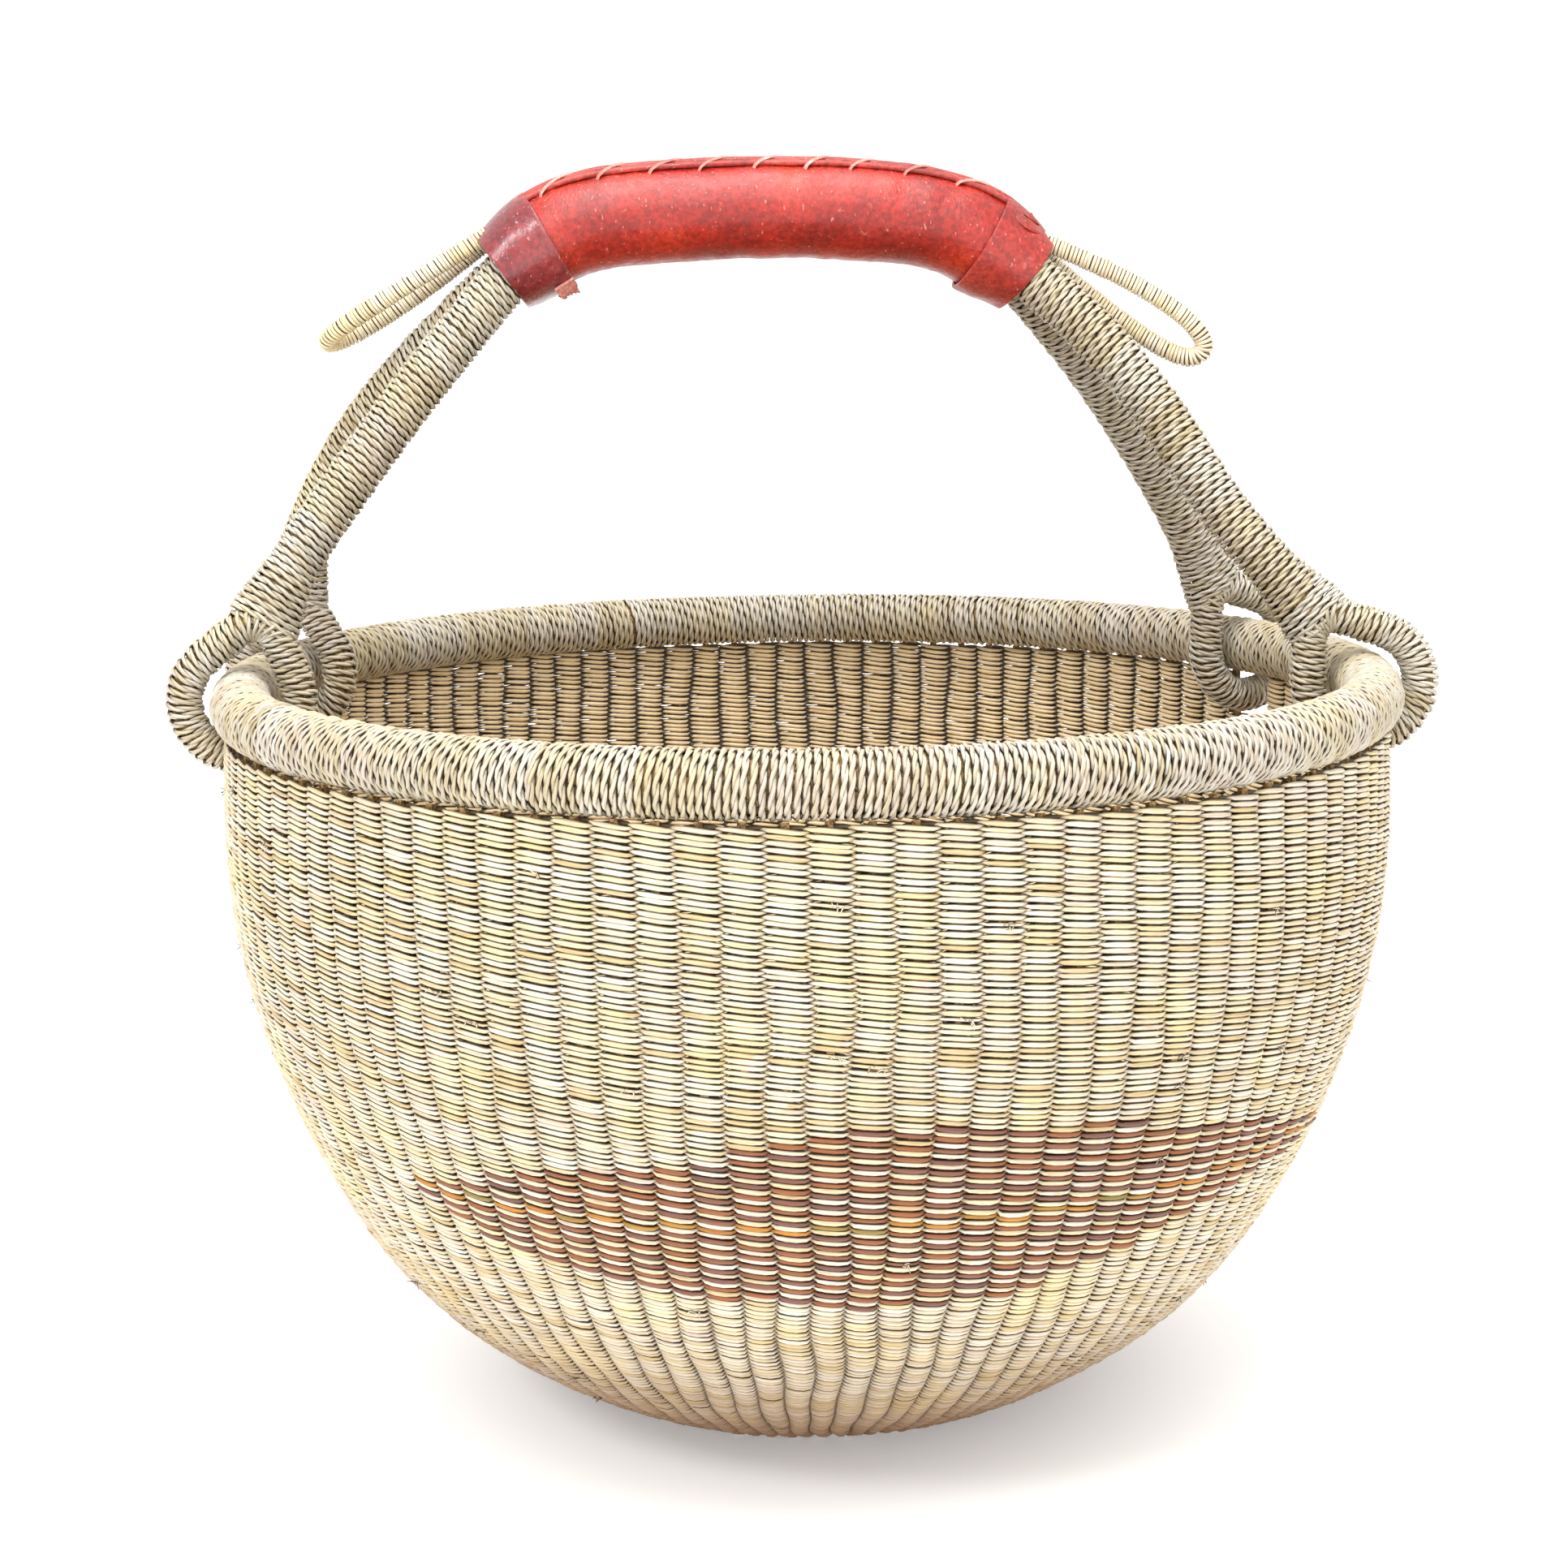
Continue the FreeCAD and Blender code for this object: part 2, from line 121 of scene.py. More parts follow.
END_LOOPS = {
    Side.LEFT: [(-106.9, 12.5, 420.8), (-115.6, 12, 415.9), (-136, 11, 404), (-157, 11.5, 391.5),
                (-169, 14.5, 384), (-172, 20.5, 380.5), (-165.5, 25.5, 382), (-148, 27.5, 392),
                (-128, 28, 405.8), (-116, 28, 415), (-108, 28, 420)],
    Side.RIGHT: [(82, 29.5, 416.8), (90.1, 29, 413), (104, 27.5, 407), (121, 26, 398.7),
                 (139, 24.8, 387), (147, 24.8, 376.5), (141, 26.5, 370.8), (126.5, 30, 378),
                 (110, 33.5, 390.5), (96, 36, 402), (88, 36.5, 409.5), (82, 36.5, 415)],
}
GRIP_LINE = [(-92, 416.5), (-74, 423.5), (-40, 426), (-11, 426.6), (18, 426),
             (50, 422), (68, 413.5)]
GRIP_ENDS = {Side.LEFT: (-107.5, 405), Side.RIGHT: (81.5, 402.5)}
HANDLE_PLANE_Y = 27.8
HANDLE_PLANE_YAW = math.radians(5.5)
BOW_SPACING = 9.7
HANDLE_ALONG = np.array([math.cos(HANDLE_PLANE_YAW), math.sin(HANDLE_PLANE_YAW), 0.0])
HANDLE_BACK = np.array([-HANDLE_ALONG[1], HANDLE_ALONG[0], 0.0])
UPWARD = np.array([0.0, 0.0, 1.0])


# ------------------------------------------------------------------ small tools
def smooth_step(value: np.ndarray) -> np.ndarray:
    """Ease from 0 to 1 with flat ends.

    Args:
        value: what is eased; it is held to 0 and 1 beyond them.

    Returns:
        The eased numbers.
    """
    value = np.clip(value, 0.0, 1.0)
    return value * value * (3 - 2 * value)


def unit(vectors: np.ndarray) -> np.ndarray:
    """The vectors at length one, row by row."""
    return vectors / np.linalg.norm(vectors, axis=-1, keepdims=True)


def linear(colour: str) -> tuple[float, float, float, float]:
    """An sRGB hex colour as linear red, green, blue and alpha.

    Args:
        colour: a hash sign and six hex digits.

    Returns:
        The four channels, from 0 to 1.
    """
    channels = [int(colour[place:place + 2], 16) / 255 for place in (1, 3, 5)]
    red, green, blue = [c / 12.92 if c <= 0.04045 else ((c + 0.055) / 1.055) ** 2.4
                        for c in channels]
    return red, green, blue, 1.0


def mesh_of(holder: bpy.types.Object) -> bpy.types.Mesh:
    """The mesh of a curve or a modified object, after which the holder is removed.

    Args:
        holder: an object that isn't in the scene yet.

    Returns:
        The mesh with every modifier applied.
    """
    bpy.context.scene.collection.objects.link(holder)
    graph = bpy.context.evaluated_depsgraph_get()
    mesh = bpy.data.meshes.new_from_object(holder.evaluated_get(graph))
    data = holder.data
    bpy.data.objects.remove(holder)
    if isinstance(data, bpy.types.Curve):
        bpy.data.curves.remove(data)
    else:
        bpy.data.meshes.remove(data)
    return mesh


def coordinates(mesh: bpy.types.Mesh) -> np.ndarray:
    """The mesh's vertex places as rows of an array.

    Args:
        mesh: any mesh.

    Returns:
        One row of x, y and z for each vertex, in metres.
    """
    flat = np.empty(len(mesh.vertices) * 3)
    mesh.vertices.foreach_get("co", flat)
    return flat.reshape(-1, 3)


def route(points: Points, spacing: float) -> np.ndarray:
    """A smooth line steered by a few given points.

    Args:
        points: the line's control points, in millimetres.
        spacing: distance between the points of the result, in millimetres.

    Returns:
        Evenly spaced points along the line, in millimetres.
    """
    curve = bpy.data.curves.new("route", "CURVE")
    curve.dimensions = "3D"
    curve.resolution_u = 16
    spline = curve.splines.new("NURBS")
    spline.points.add(len(points) - 1)
    for place, point in zip(spline.points, points):
        place.co = (*point, 1.0)
    spline.order_u = 3
    spline.use_endpoint_u = True
    mesh = mesh_of(bpy.data.objects.new("route", curve))
    line = coordinates(mesh)
    bpy.data.meshes.remove(mesh)
    return evenly(line, spacing)


def evenly(line: np.ndarray, spacing: float) -> np.ndarray:
    """The same line with its points a steady distance apart.

    Args:
        line: points in order.
        spacing: the distance wanted.

    Returns:
        The new points, three or more.
    """
    steps = np.linalg.norm(np.diff(line, axis=0), axis=1)
    reached = np.concatenate([[0.0], np.cumsum(steps)])
    wanted = np.linspace(0.0, reached[-1], max(3, int(reached[-1] / spacing) + 1))
    return np.stack([np.interp(wanted, reached, line[:, axis]) for axis in range(3)], 1)


@dataclass
class Spine:
    """A centre line with two cross directions carried along it without twist, in millimetres."""

    points: np.ndarray
    first_normal: np.ndarray
    tangents: np.ndarray = field(init=False)
    normals: np.ndarray = field(init=False)
    binormals: np.ndarray = field(init=False)
    reached: np.ndarray = field(init=False)

    def __post_init__(self) -> None:
        """Carry the first normal along the line."""
        self.tangents = unit(np.gradient(self.points, axis=0))
        normals = []
        normal = np.asarray(self.first_normal, float)
        for tangent in self.tangents:
            normal = unit(normal - tangent * (normal @ tangent))
            normals.append(normal)
        self.normals = np.array(normals)
        self.binormals = np.cross(self.tangents, self.normals)
        steps = np.linalg.norm(np.diff(self.points, axis=0), axis=1)
        self.reached = np.concatenate([[0.0], np.cumsum(steps)])

    @property
    def length(self) -> float:
        """Length of the line."""
        return float(self.reached[-1])

    def at(self, distance: np.ndarray) -> tuple[np.ndarray, np.ndarray, np.ndarray, np.ndarray]:
        """Point, tangent, normal and binormal at distances along the line.

        Args:
            distance: distances from the line's start, in millimetres.

        Returns:
            The four, each with one row for each distance.
        """
        found = [np.stack([np.interp(distance, self.reached, values[:, axis])
                           for axis in range(3)], -1)
                 for values in (self.points, self.tangents, self.normals, self.binormals)]
        return found[0], unit(found[1]), unit(found[2]), unit(found[3])


@dataclass
class Strand:
    """One length of grass: its line, thickness and marks, in millimetres, point by point."""

    points: np.ndarray
    radius: np.ndarray
    outward: np.ndarray
    marks: dict[str, np.ndarray]
    closed: bool = False


def close_ends(mesh: bpy.types.Mesh) -> None:
    """Close the open ends of the mesh's strands.

    Args:
        mesh: the mesh, which is changed in place.
    """
    shell = bmesh.new()
    shell.from_mesh(mesh)
    rims = [edge for edge in shell.edges if edge.is_boundary]
    bmesh.ops.holes_fill(shell, edges=rims, sides=0)
    shell.to_mesh(mesh)
    shell.free()


def strand_mesh(name: str, strands: Sequence[Strand], section: Section,
                level: bool = False) -> bpy.types.Mesh:
    """Many strands as one mesh that carries their marks.

    Args:
        name: the mesh's name.
        strands: the lengths of grass.
        section: how round each strand is.
        level: whether the strands lie level, so that their sections keep one corner up.

    Returns:
        A mesh with float attributes for the marks, one more for how far a face turns away from
        the side that shows (0 faces it, 1 faces away), which the finishes paint as shade, and the
        vector `fibre` that runs along each strand.
    """
    curve = bpy.data.curves.new(name, "CURVE")
    curve.dimensions = "3D"
    curve.bevel_depth = 1.0
    curve.bevel_resolution = section.value
    curve.twist_mode = "Z_UP" if level else "MINIMUM"
    for strand in strands:
        spline = curve.splines.new("POLY")
        spline.points.add(len(strand.points) - 1)
        places = np.column_stack([strand.points * MM, np.ones(len(strand.points))])
        spline.points.foreach_set("co", places.ravel())
        spline.points.foreach_set("radius", strand.radius * MM)
        spline.use_cyclic_u = strand.closed
    mesh = mesh_of(bpy.data.objects.new(name, curve))
    sides = section.sides
    centres = np.repeat(np.concatenate([s.points for s in strands]), sides, 0)
    outward = np.repeat(np.concatenate([s.outward for s in strands]), sides, 0)
    radius = np.repeat(np.concatenate([s.radius for s in strands]), sides)
    away = coordinates(mesh) / MM - centres
    facing = (away * outward).sum(1) / np.maximum(radius, 1e-6)
    values = {key: np.repeat(np.concatenate([s.marks[key] for s in strands]), sides)
              for key in strands[0].marks}
    values["groove_shade"] = (1.0 - facing) / 2
    for key, numbers in values.items():
        mark = mesh.attributes.new(key, "FLOAT", "POINT")
        mark.data.foreach_set("value", numbers.astype(np.float32))
    along = np.concatenate([np.concatenate([[0.0], np.cumsum(
        np.linalg.norm(np.diff(s.points, axis=0), axis=1))]) + STREAK_SHIFT * index
        for index, s in enumerate(strands)])
    turn = np.tile(np.arange(sides) / sides * TURN, len(centres) // sides)
    fibre = np.stack([np.repeat(along, sides), radius * np.cos(turn), radius * np.sin(turn)], 1)
    mark = mesh.attributes.new("fibre", "FLOAT_VECTOR", "POINT")
    mark.data.foreach_set("vector", (fibre * MM).astype(np.float32).ravel())
    if not all(strand.closed for strand in strands):
        close_ends(mesh)
    return mesh


def finish_piece(name: str, mesh: bpy.types.Mesh, material: bpy.types.Material, body: str,
                 replaces: Sequence[str] = ()) -> bpy.types.Object:
    """Make a finished piece of the basket out of a mesh.

    Args:
        name: the piece's name.
        mesh: its mesh, in place.
        material: its finish.
        body: the body that it rides on.
        replaces: the CAD nodes that it stands for.

    Returns:
        The piece.
    """
    mesh.materials.clear()
    mesh.materials.append(material)
    mesh.shade_smooth()
    piece = bpy.data.objects.new(name, mesh)
    bpy.context.scene.collection.objects.link(piece)
    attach(piece, body)
    if replaces:
        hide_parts(*replaces)
    LOG.info("%-30s %7d faces", name, len(mesh.polygons))
    return piece


def dress_node(node: str, material: bpy.types.Material) -> None:
    """Give a CAD node a finish.

    Args:
        node: the node's name.
        material: its finish.
    """
    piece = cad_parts[node]
    piece.data.materials.clear()
    piece.data.materials.append(material)


# ------------------------------------------------------------------ finishes
# Numbers of a colour Mix node's inputs, and of a Map Range node's.
SHARE, UNDER, OVER = 0, 6, 7
VALUE, LOW, HIGH, AT_LOW, AT_HIGH = range(5)
# Settings that several nodes share.
MARK = {"kind": "ShaderNodeAttribute", "output": "Fac"}
CLOUDS = {"kind": "ShaderNodeTexNoise", "output": "Fac"}
EASED = {"kind": "ShaderNodeMapRange", "interpolation_type": "SMOOTHSTEP"}
MIXED = {"kind": "ShaderNodeMix", "data_type": "RGBA", "output": 2}
STAINED = {**MIXED, "blend_type": "MULTIPLY"}
GRASS_IOR = 1.45
LEATHER_IOR = 1.48


def add_node(tree: bpy.types.NodeTree, kind: str, inputs: Optional[dict[Any, Any]] = None,
             output: Any = 0, stops: Sequence[tuple[float, str]] = (),
             **settings: Any) -> Optional[bpy.types.NodeSocket]:
    """Add one node with its settings and links.

    Args:
        tree: the tree that it joins.
        kind: the node's type.
        inputs: what its inputs get, by name or number: another node's output or a plain value.
        output: name or number of the output that is wanted.
        stops: for a colour ramp, places from 0 to 1 with their hex colours.
        settings: its properties.

    Returns:
        The wanted output, or nothing where the node has no outputs.
    """
    node = tree.nodes.new(kind)
    for key, value in settings.items():
        setattr(node, key, value)
    for key, value in (inputs or {}).items():
        if isinstance(value, bpy.types.NodeSocket):
            tree.links.new(value, node.inputs[key])
        else:
            node.inputs[key].default_value = value
    if stops:
        marks = node.color_ramp.elements
        while len(marks) < len(stops):
            marks.new(0.5)
        for mark, (place, colour) in zip(marks, stops):
            mark.position = place
            mark.color = linear(colour)
    return node.outputs[output] if node.outputs else None


def blank_material(name: str) -> tuple[bpy.types.Material, bpy.types.NodeTree]:
    """A material with an empty node tree.

    Args:
        name: the material's name.

    Returns:
        The material and its tree.
    """
    material = bpy.data.materials.new(name)
    material.use_nodes = True
    material.node_tree.nodes.clear()
    return material, material.node_tree


def evenly_placed(colours: Sequence[str]) -> list[tuple[float, str]]:
    """Colours as the stops of a ramp, an even distance apart.

    Args:
        colours: hex colours in order.

    Returns:
        Places from 0 to 1 with their colours.
    """
    last = len(colours) - 1
    return [(number / last, colour) for number, colour in enumerate(colours)]


@dataclass(frozen=True)
class GrassFinish:
    """Elephant grass, split, dried and rolled by hand.

    The strand is satin and streaked along its length; tones differ from one length to the
    next. The dips between strands and the faces turned away from view are painted dark brown
    as shade.
    """

    name: str
    straws: tuple[str, ...]
    # Painted shade: dips between strands and faces turned away from view are darkened towards this
    # brown.
    painted_shade: str = "#2c170c"
    patch: str = "#f3e2ae"
    # Painted light: a warm tint for the passes on the inner face of the wall.
    inside: str = "#ffe9c0"
    # Painted shade towards the base: its colour, and the height where it fades out.
    base_shade: str = "#8f6638"
    base_shade_height_mm: float = 95.0
    dyes: tuple[str, ...] = ()
    streak: str = "#d6c3a0"
    fibre_mm: float = 0.35
    fibre_length_mm: float = 9.0
    fibre_depth_mm: float = 0.12
    patch_mm: float = 24.0
    roughness: float = 0.52
    # How dark the painted shade gets.
    painted_shade_depth: float = 0.85
    patch_share: float = 0.55
    # Share of the painted warm tint on the inner face.
    painted_inside_share: float = 0.7
    streak_share: float = 0.75
    # Where the painted shade on faces turned away from view starts and where it is full.
    groove_shade_start: float = 0.28
    groove_shade_full: float = 0.47

    def material(self) -> bpy.types.Material:
        """The finish as a material that reads the strands' own marks."""
        material, tree = blank_material(self.name)
        tone = add_node(tree, attribute_name="tone", **MARK)
        colour = add_node(tree, "ShaderNodeValToRGB", {0: tone}, stops=evenly_placed(self.straws))
        places = add_node(tree, "ShaderNodeTexCoord", output="Object")
        patches = add_node(tree, inputs={"Vector": places, "Scale": 1 / (self.patch_mm * MM),
                                         "Detail": 3.0}, **CLOUDS)
        patchy = add_node(tree, inputs={VALUE: patches, LOW: 0.5, HIGH: 0.72,
                                        AT_HIGH: self.patch_share}, **EASED)
        colour = add_node(tree, inputs={SHARE: patchy, UNDER: colour, OVER: linear(self.patch)},
                          **MIXED)
        if self.dyes:
            dye = add_node(tree, attribute_name="dye", **MARK)
            dye_tone = add_node(tree, attribute_name="dye_tone", **MARK)
            dyed = add_node(tree, "ShaderNodeValToRGB", {0: dye_tone},
                            stops=evenly_placed(self.dyes))
            colour = add_node(tree, inputs={SHARE: dye, UNDER: colour, OVER: dyed}, **MIXED)
        # Painted light: the passes on the inner face of the wall get a warm tint.
        inside = add_node(tree, attribute_name="inside", **MARK)
        painted_inside_tint = add_node(tree, "ShaderNodeMath", {0: inside, 1: self.painted_inside_share},
                          operation="MULTIPLY")
        colour = add_node(tree, inputs={SHARE: painted_inside_tint, UNDER: colour, OVER: linear(self.inside)},
                          **MIXED)
        # Painted shade: darker and warmer towards the base.
        level = add_node(tree, "ShaderNodeSeparateXYZ", {0: places}, "Z")
        base_shading = add_node(tree, inputs={VALUE: level, LOW: 0.0, HIGH: self.base_shade_height_mm * MM,
                                      AT_LOW: 1.0, AT_HIGH: 0.0}, **EASED)
        colour = add_node(tree, inputs={SHARE: base_shading, UNDER: colour, OVER: linear(self.base_shade)},
                          **STAINED)
        fibre = add_node(tree, "ShaderNodeAttribute", output="Vector", attribute_name="fibre")
        across = 1 / (self.fibre_mm * MM)
        lengthways = 1 / (self.fibre_length_mm * MM)
        drawn = add_node(tree, "ShaderNodeMapping",
                         {"Vector": fibre, "Scale": (lengthways, across, across)})
        streaks = add_node(tree, inputs={"Vector": drawn, "Scale": 1.0, "Detail": 2.0}, **CLOUDS)
        streak = add_node(tree, inputs={VALUE: streaks, LOW: 0.3, HIGH: 0.62}, **EASED)
        shade = add_node(tree, inputs={SHARE: streak, UNDER: linear(self.streak),
                                       OVER: linear("#ffffff")}, **MIXED)
        colour = add_node(tree, inputs={SHARE: self.streak_share, UNDER: colour, OVER: shade},
                          **STAINED)
        # Painted shade: darker in the dips between strands and on faces turned away from view.
        painted_shade = add_node(tree, attribute_name="painted_shade", **MARK)
        groove_shade = add_node(tree, attribute_name="groove_shade", **MARK)
        turned = add_node(tree, inputs={VALUE: groove_shade, LOW: self.groove_shade_start,
                                        HIGH: self.groove_shade_full}, **EASED)
        deepest = add_node(tree, "ShaderNodeMath", {0: turned, 1: painted_shade}, operation="MAXIMUM")
        dark = add_node(tree, "ShaderNodeMath", {0: deepest, 1: self.painted_shade_depth},
                        operation="MULTIPLY")
        colour = add_node(tree, inputs={SHARE: dark, UNDER: colour, OVER: linear(self.painted_shade)},
                          **MIXED)
        rough = add_node(tree, inputs={VALUE: streaks, LOW: 0.2, HIGH: 0.8,
                                       AT_LOW: self.roughness - 0.08,
                                       AT_HIGH: self.roughness + 0.12}, **EASED)
        bump = add_node(tree, "ShaderNodeBump", {"Height": streaks, "Strength": 0.5,
                                                 "Distance": self.fibre_depth_mm * MM})
        shader = add_node(tree, "ShaderNodeBsdfPrincipled",
                          {"Base Color": colour, "Roughness": rough, "Normal": bump,
                           "IOR": GRASS_IOR})
        add_node(tree, "ShaderNodeOutputMaterial", {0: shader})
        return material


@dataclass(frozen=True)
class BundleFinish:
    """A raw bundle of grass stems laid side by side, matt, with painted shade in the gaps between
    the stems.
    """

    name: str
    light: str
    dark: str
    stem_mm: float = 1.2
    stem_depth_mm: float = 0.3
    roughness: float = 0.7

    def material(self) -> bpy.types.Material:
        """The finish as a material of stems, with painted shade in the gaps."""
        material, tree = blank_material(self.name)
        places = add_node(tree, "ShaderNodeTexCoord", output="Object")
        stems = add_node(tree, inputs={"Vector": places, "Scale": 1 / (self.stem_mm * MM),
                                       "Detail": 3.0, "Distortion": 0.6}, **CLOUDS)
        # Painted shade: the dark end of the ramp lies in the gaps between stems.
        colour = add_node(tree, "ShaderNodeValToRGB", {0: stems},
                          stops=[(0.35, self.dark), (0.65, self.light)])
        bump = add_node(tree, "ShaderNodeBump", {"Height": stems, "Strength": 0.6,
                                                 "Distance": self.stem_depth_mm * MM})
        shader = add_node(tree, "ShaderNodeBsdfPrincipled",
                          {"Base Color": colour, "Roughness": self.roughness, "Normal": bump,
                           "IOR": GRASS_IOR})
        add_node(tree, "ShaderNodeOutputMaterial", {0: shader})
        return material


@dataclass(frozen=True)
class LeatherFinish:
    """Vegetable-tanned goatskin, dyed by hand and rubbed with oil.

    It has a fine pebbled grain, small pale scuffs where the dye has worn, darker hollows, and
    a soft gloss that is broken by creases.
    """

    name: str
    colour: str
    deep: str
    bright: str
    scuff: str
    roughness: float = 0.38
    grain_mm: float = 0.9
    grain_depth_mm: float = 0.12
    mottle_grains: float = 2.2
    blotch_mm: float = 26.0
    scuff_mm: float = 5.0
    scuff_share: float = 0.5
    fleck_mm: float = 1.1
    fleck_stretch: float = 0.4
    fleck_share: float = 0.75
    fleck_depth_mm: float = 0.35
    coat: float = 0.15

    def material(self) -> bpy.types.Material:
        """The finish as a material of blotches, grain, scuffs and flecks."""
        material, tree = blank_material(self.name)
        places = add_node(tree, "ShaderNodeTexCoord", output="Object")
        blotches = add_node(tree, inputs={"Vector": places, "Scale": 1 / (self.blotch_mm * MM),
                                          "Detail": 4.0}, **CLOUDS)
        colour = add_node(tree, "ShaderNodeValToRGB", {0: blotches},
                          stops=[(0.32, self.deep), (0.5, self.colour), (0.68, self.bright)])
        grain = add_node(tree, "ShaderNodeTexVoronoi",
                         {"Vector": places, "Scale": 1 / (self.grain_mm * MM)}, "Distance",
                         feature="SMOOTH_F1")
        pores = add_node(tree, inputs={VALUE: grain, LOW: 0.25, HIGH: 0.75, AT_LOW: 1.0,
                                       AT_HIGH: 0.84}, **EASED)
        mottle_mm = self.mottle_grains * self.grain_mm
        mottle = add_node(tree, inputs={"Vector": places, "Scale": 1 / (mottle_mm * MM),
                                        "Detail": 3.0}, **CLOUDS)
        mottled = add_node(tree, inputs={VALUE: mottle, LOW: 0.36, HIGH: 0.64, AT_LOW: 0.74,
                                         AT_HIGH: 1.12}, **EASED)
        shade = add_node(tree, "ShaderNodeMath", {0: pores, 1: mottled}, operation="MULTIPLY")
        colour = add_node(tree, inputs={SHARE: 1.0, UNDER: colour, OVER: shade}, **STAINED)
        rubbed = add_node(tree, inputs={"Vector": places, "Scale": 1 / (self.scuff_mm * MM),
                                        "Detail": 6.0, "Roughness": 0.65, "Distortion": 0.8},
                          **CLOUDS)
        scuffed = add_node(tree, inputs={VALUE: rubbed, LOW: 0.62, HIGH: 0.74,
                                         AT_HIGH: self.scuff_share}, **EASED)
        colour = add_node(tree, inputs={SHARE: scuffed, UNDER: colour, OVER: linear(self.scuff)},
                          **MIXED)
        upright = add_node(tree, "ShaderNodeMapping",
                           {"Vector": places, "Scale": (1.0, 1.0, self.fleck_stretch)})
        flecks = add_node(tree, inputs={"Vector": upright, "Scale": 1 / (self.fleck_mm * MM),
                                        "Detail": 1.0}, **CLOUDS)
        flecked = add_node(tree, inputs={VALUE: flecks, LOW: 0.69, HIGH: 0.76,
                                         AT_HIGH: self.fleck_share}, **EASED)
        colour = add_node(tree, inputs={SHARE: flecked, UNDER: colour, OVER: linear(self.scuff)},
                          **MIXED)
        rough = add_node(tree, inputs={VALUE: rubbed, LOW: 0.3, HIGH: 0.75,
                                       AT_LOW: self.roughness - 0.06,
                                       AT_HIGH: self.roughness + 0.2}, **EASED)
        fine = add_node(tree, "ShaderNodeBump", {"Height": grain, "Strength": 0.35,
                                                 "Distance": self.grain_depth_mm * MM},
                        invert=True)
        creased = add_node(tree, "ShaderNodeBump", {"Height": flecks, "Normal": fine,
                                                    "Strength": 0.5,
                                                    "Distance": self.fleck_depth_mm * MM})
        shader = add_node(tree, "ShaderNodeBsdfPrincipled",
                          {"Base Color": colour, "Roughness": rough, "Normal": creased,
                           "IOR": LEATHER_IOR, "Coat Weight": self.coat,
                           "Coat Roughness": 0.25})
        add_node(tree, "ShaderNodeOutputMaterial", {0: shader})
        return material


@dataclass(frozen=True)
class Finishes:
    """All the basket's materials, made once."""

    weft: bpy.types.Material
    dyed_weft: bpy.types.Material
    cord: bpy.types.Material
    fine_cord: bpy.types.Material
    bundle: bpy.types.Material
    red_leather: bpy.types.Material
    wine_leather: bpy.types.Material
    end_leather: bpy.types.Material
    dark_leather: bpy.types.Material
    thong: bpy.types.Material


def make_finishes() -> Finishes:
    """Make every material of the basket."""
    straws = ("#ebe5d6", "#e4dbc3", "#ddcfa9", "#ddd0c0", "#e8e1d2", "#d0bc92")
    cords = ("#c8c4b9", "#c3bcab", "#beb498", "#c1b7ab", "#cac6bb", "#b1a483")
    dyes = ("#755049", "#865848", "#9b5d38", "#8d5a3a", "#c98730", "#8b8045")
    return Finishes(
        # Elephant grass, split and rolled: satin, straw to cream, streaked along the strand.
        weft=GrassFinish("twined_elephant_grass", straws).material(),
        # The same grass out of a dye bath: plum and rust, with a few rows of ochre and olive.
        dyed_weft=GrassFinish("twined_dyed_elephant_grass", straws, dyes=dyes).material(),
        # Two plies twisted by hand: greyer and finer in its streaks, with painted shade along the
        # twist lines.
        cord=GrassFinish("two_ply_grass_cord", cords, fibre_mm=0.3, patch="#cfc3a0",
                         roughness=0.5).material(),
        # A single fine strand: clean, pale and close-wound, with lighter painted shade.
        fine_cord=GrassFinish("fine_grass_strand", straws[:4], fibre_mm=0.25,
                              painted_shade_depth=0.7).material(),
        # Unsorted stems: matt tan, with painted shade in the gaps; seen only between stitches and
        # turns.
        bundle=BundleFinish("raw_grass_bundle", "#b38d55", "#3d2a17").material(),
        # Oiled goatskin: a clear red with a soft gloss and pale scuffs.
        red_leather=LeatherFinish("oiled_red_goatskin", "#a8261a", "#902018", "#b63119",
                                  "#cc7a70").material(),
        # The same skin polished harder: wine red with sharp highlights.
        wine_leather=LeatherFinish("glossy_wine_goatskin", "#7c2529", "#651f23", "#8e2f31",
                                   "#b98083", roughness=0.26, coat=0.5).material(),
        # Red skin stretched over the end: a little duller than the sleeve.
        end_leather=LeatherFinish("red_goatskin_band", "#9f2b23", "#85241f", "#ad372c",
                                  "#c87c74", roughness=0.4).material(),
        # Cut edges and folds: the dye is darker where the skin was worked, and matt.
        dark_leather=LeatherFinish("cut_edge_goatskin", "#a1342a", "#7a241e", "#b8453a",
                                   "#c9766c", roughness=0.45).material(),
        # A narrow thong, almost undyed: pinkish and matt.
        thong=LeatherFinish("pale_goatskin_thong", "#cd7c6e", "#a5493f", "#e4a698", "#f3d3c8",
                            roughness=0.5, grain_mm=0.6).material(),
    )


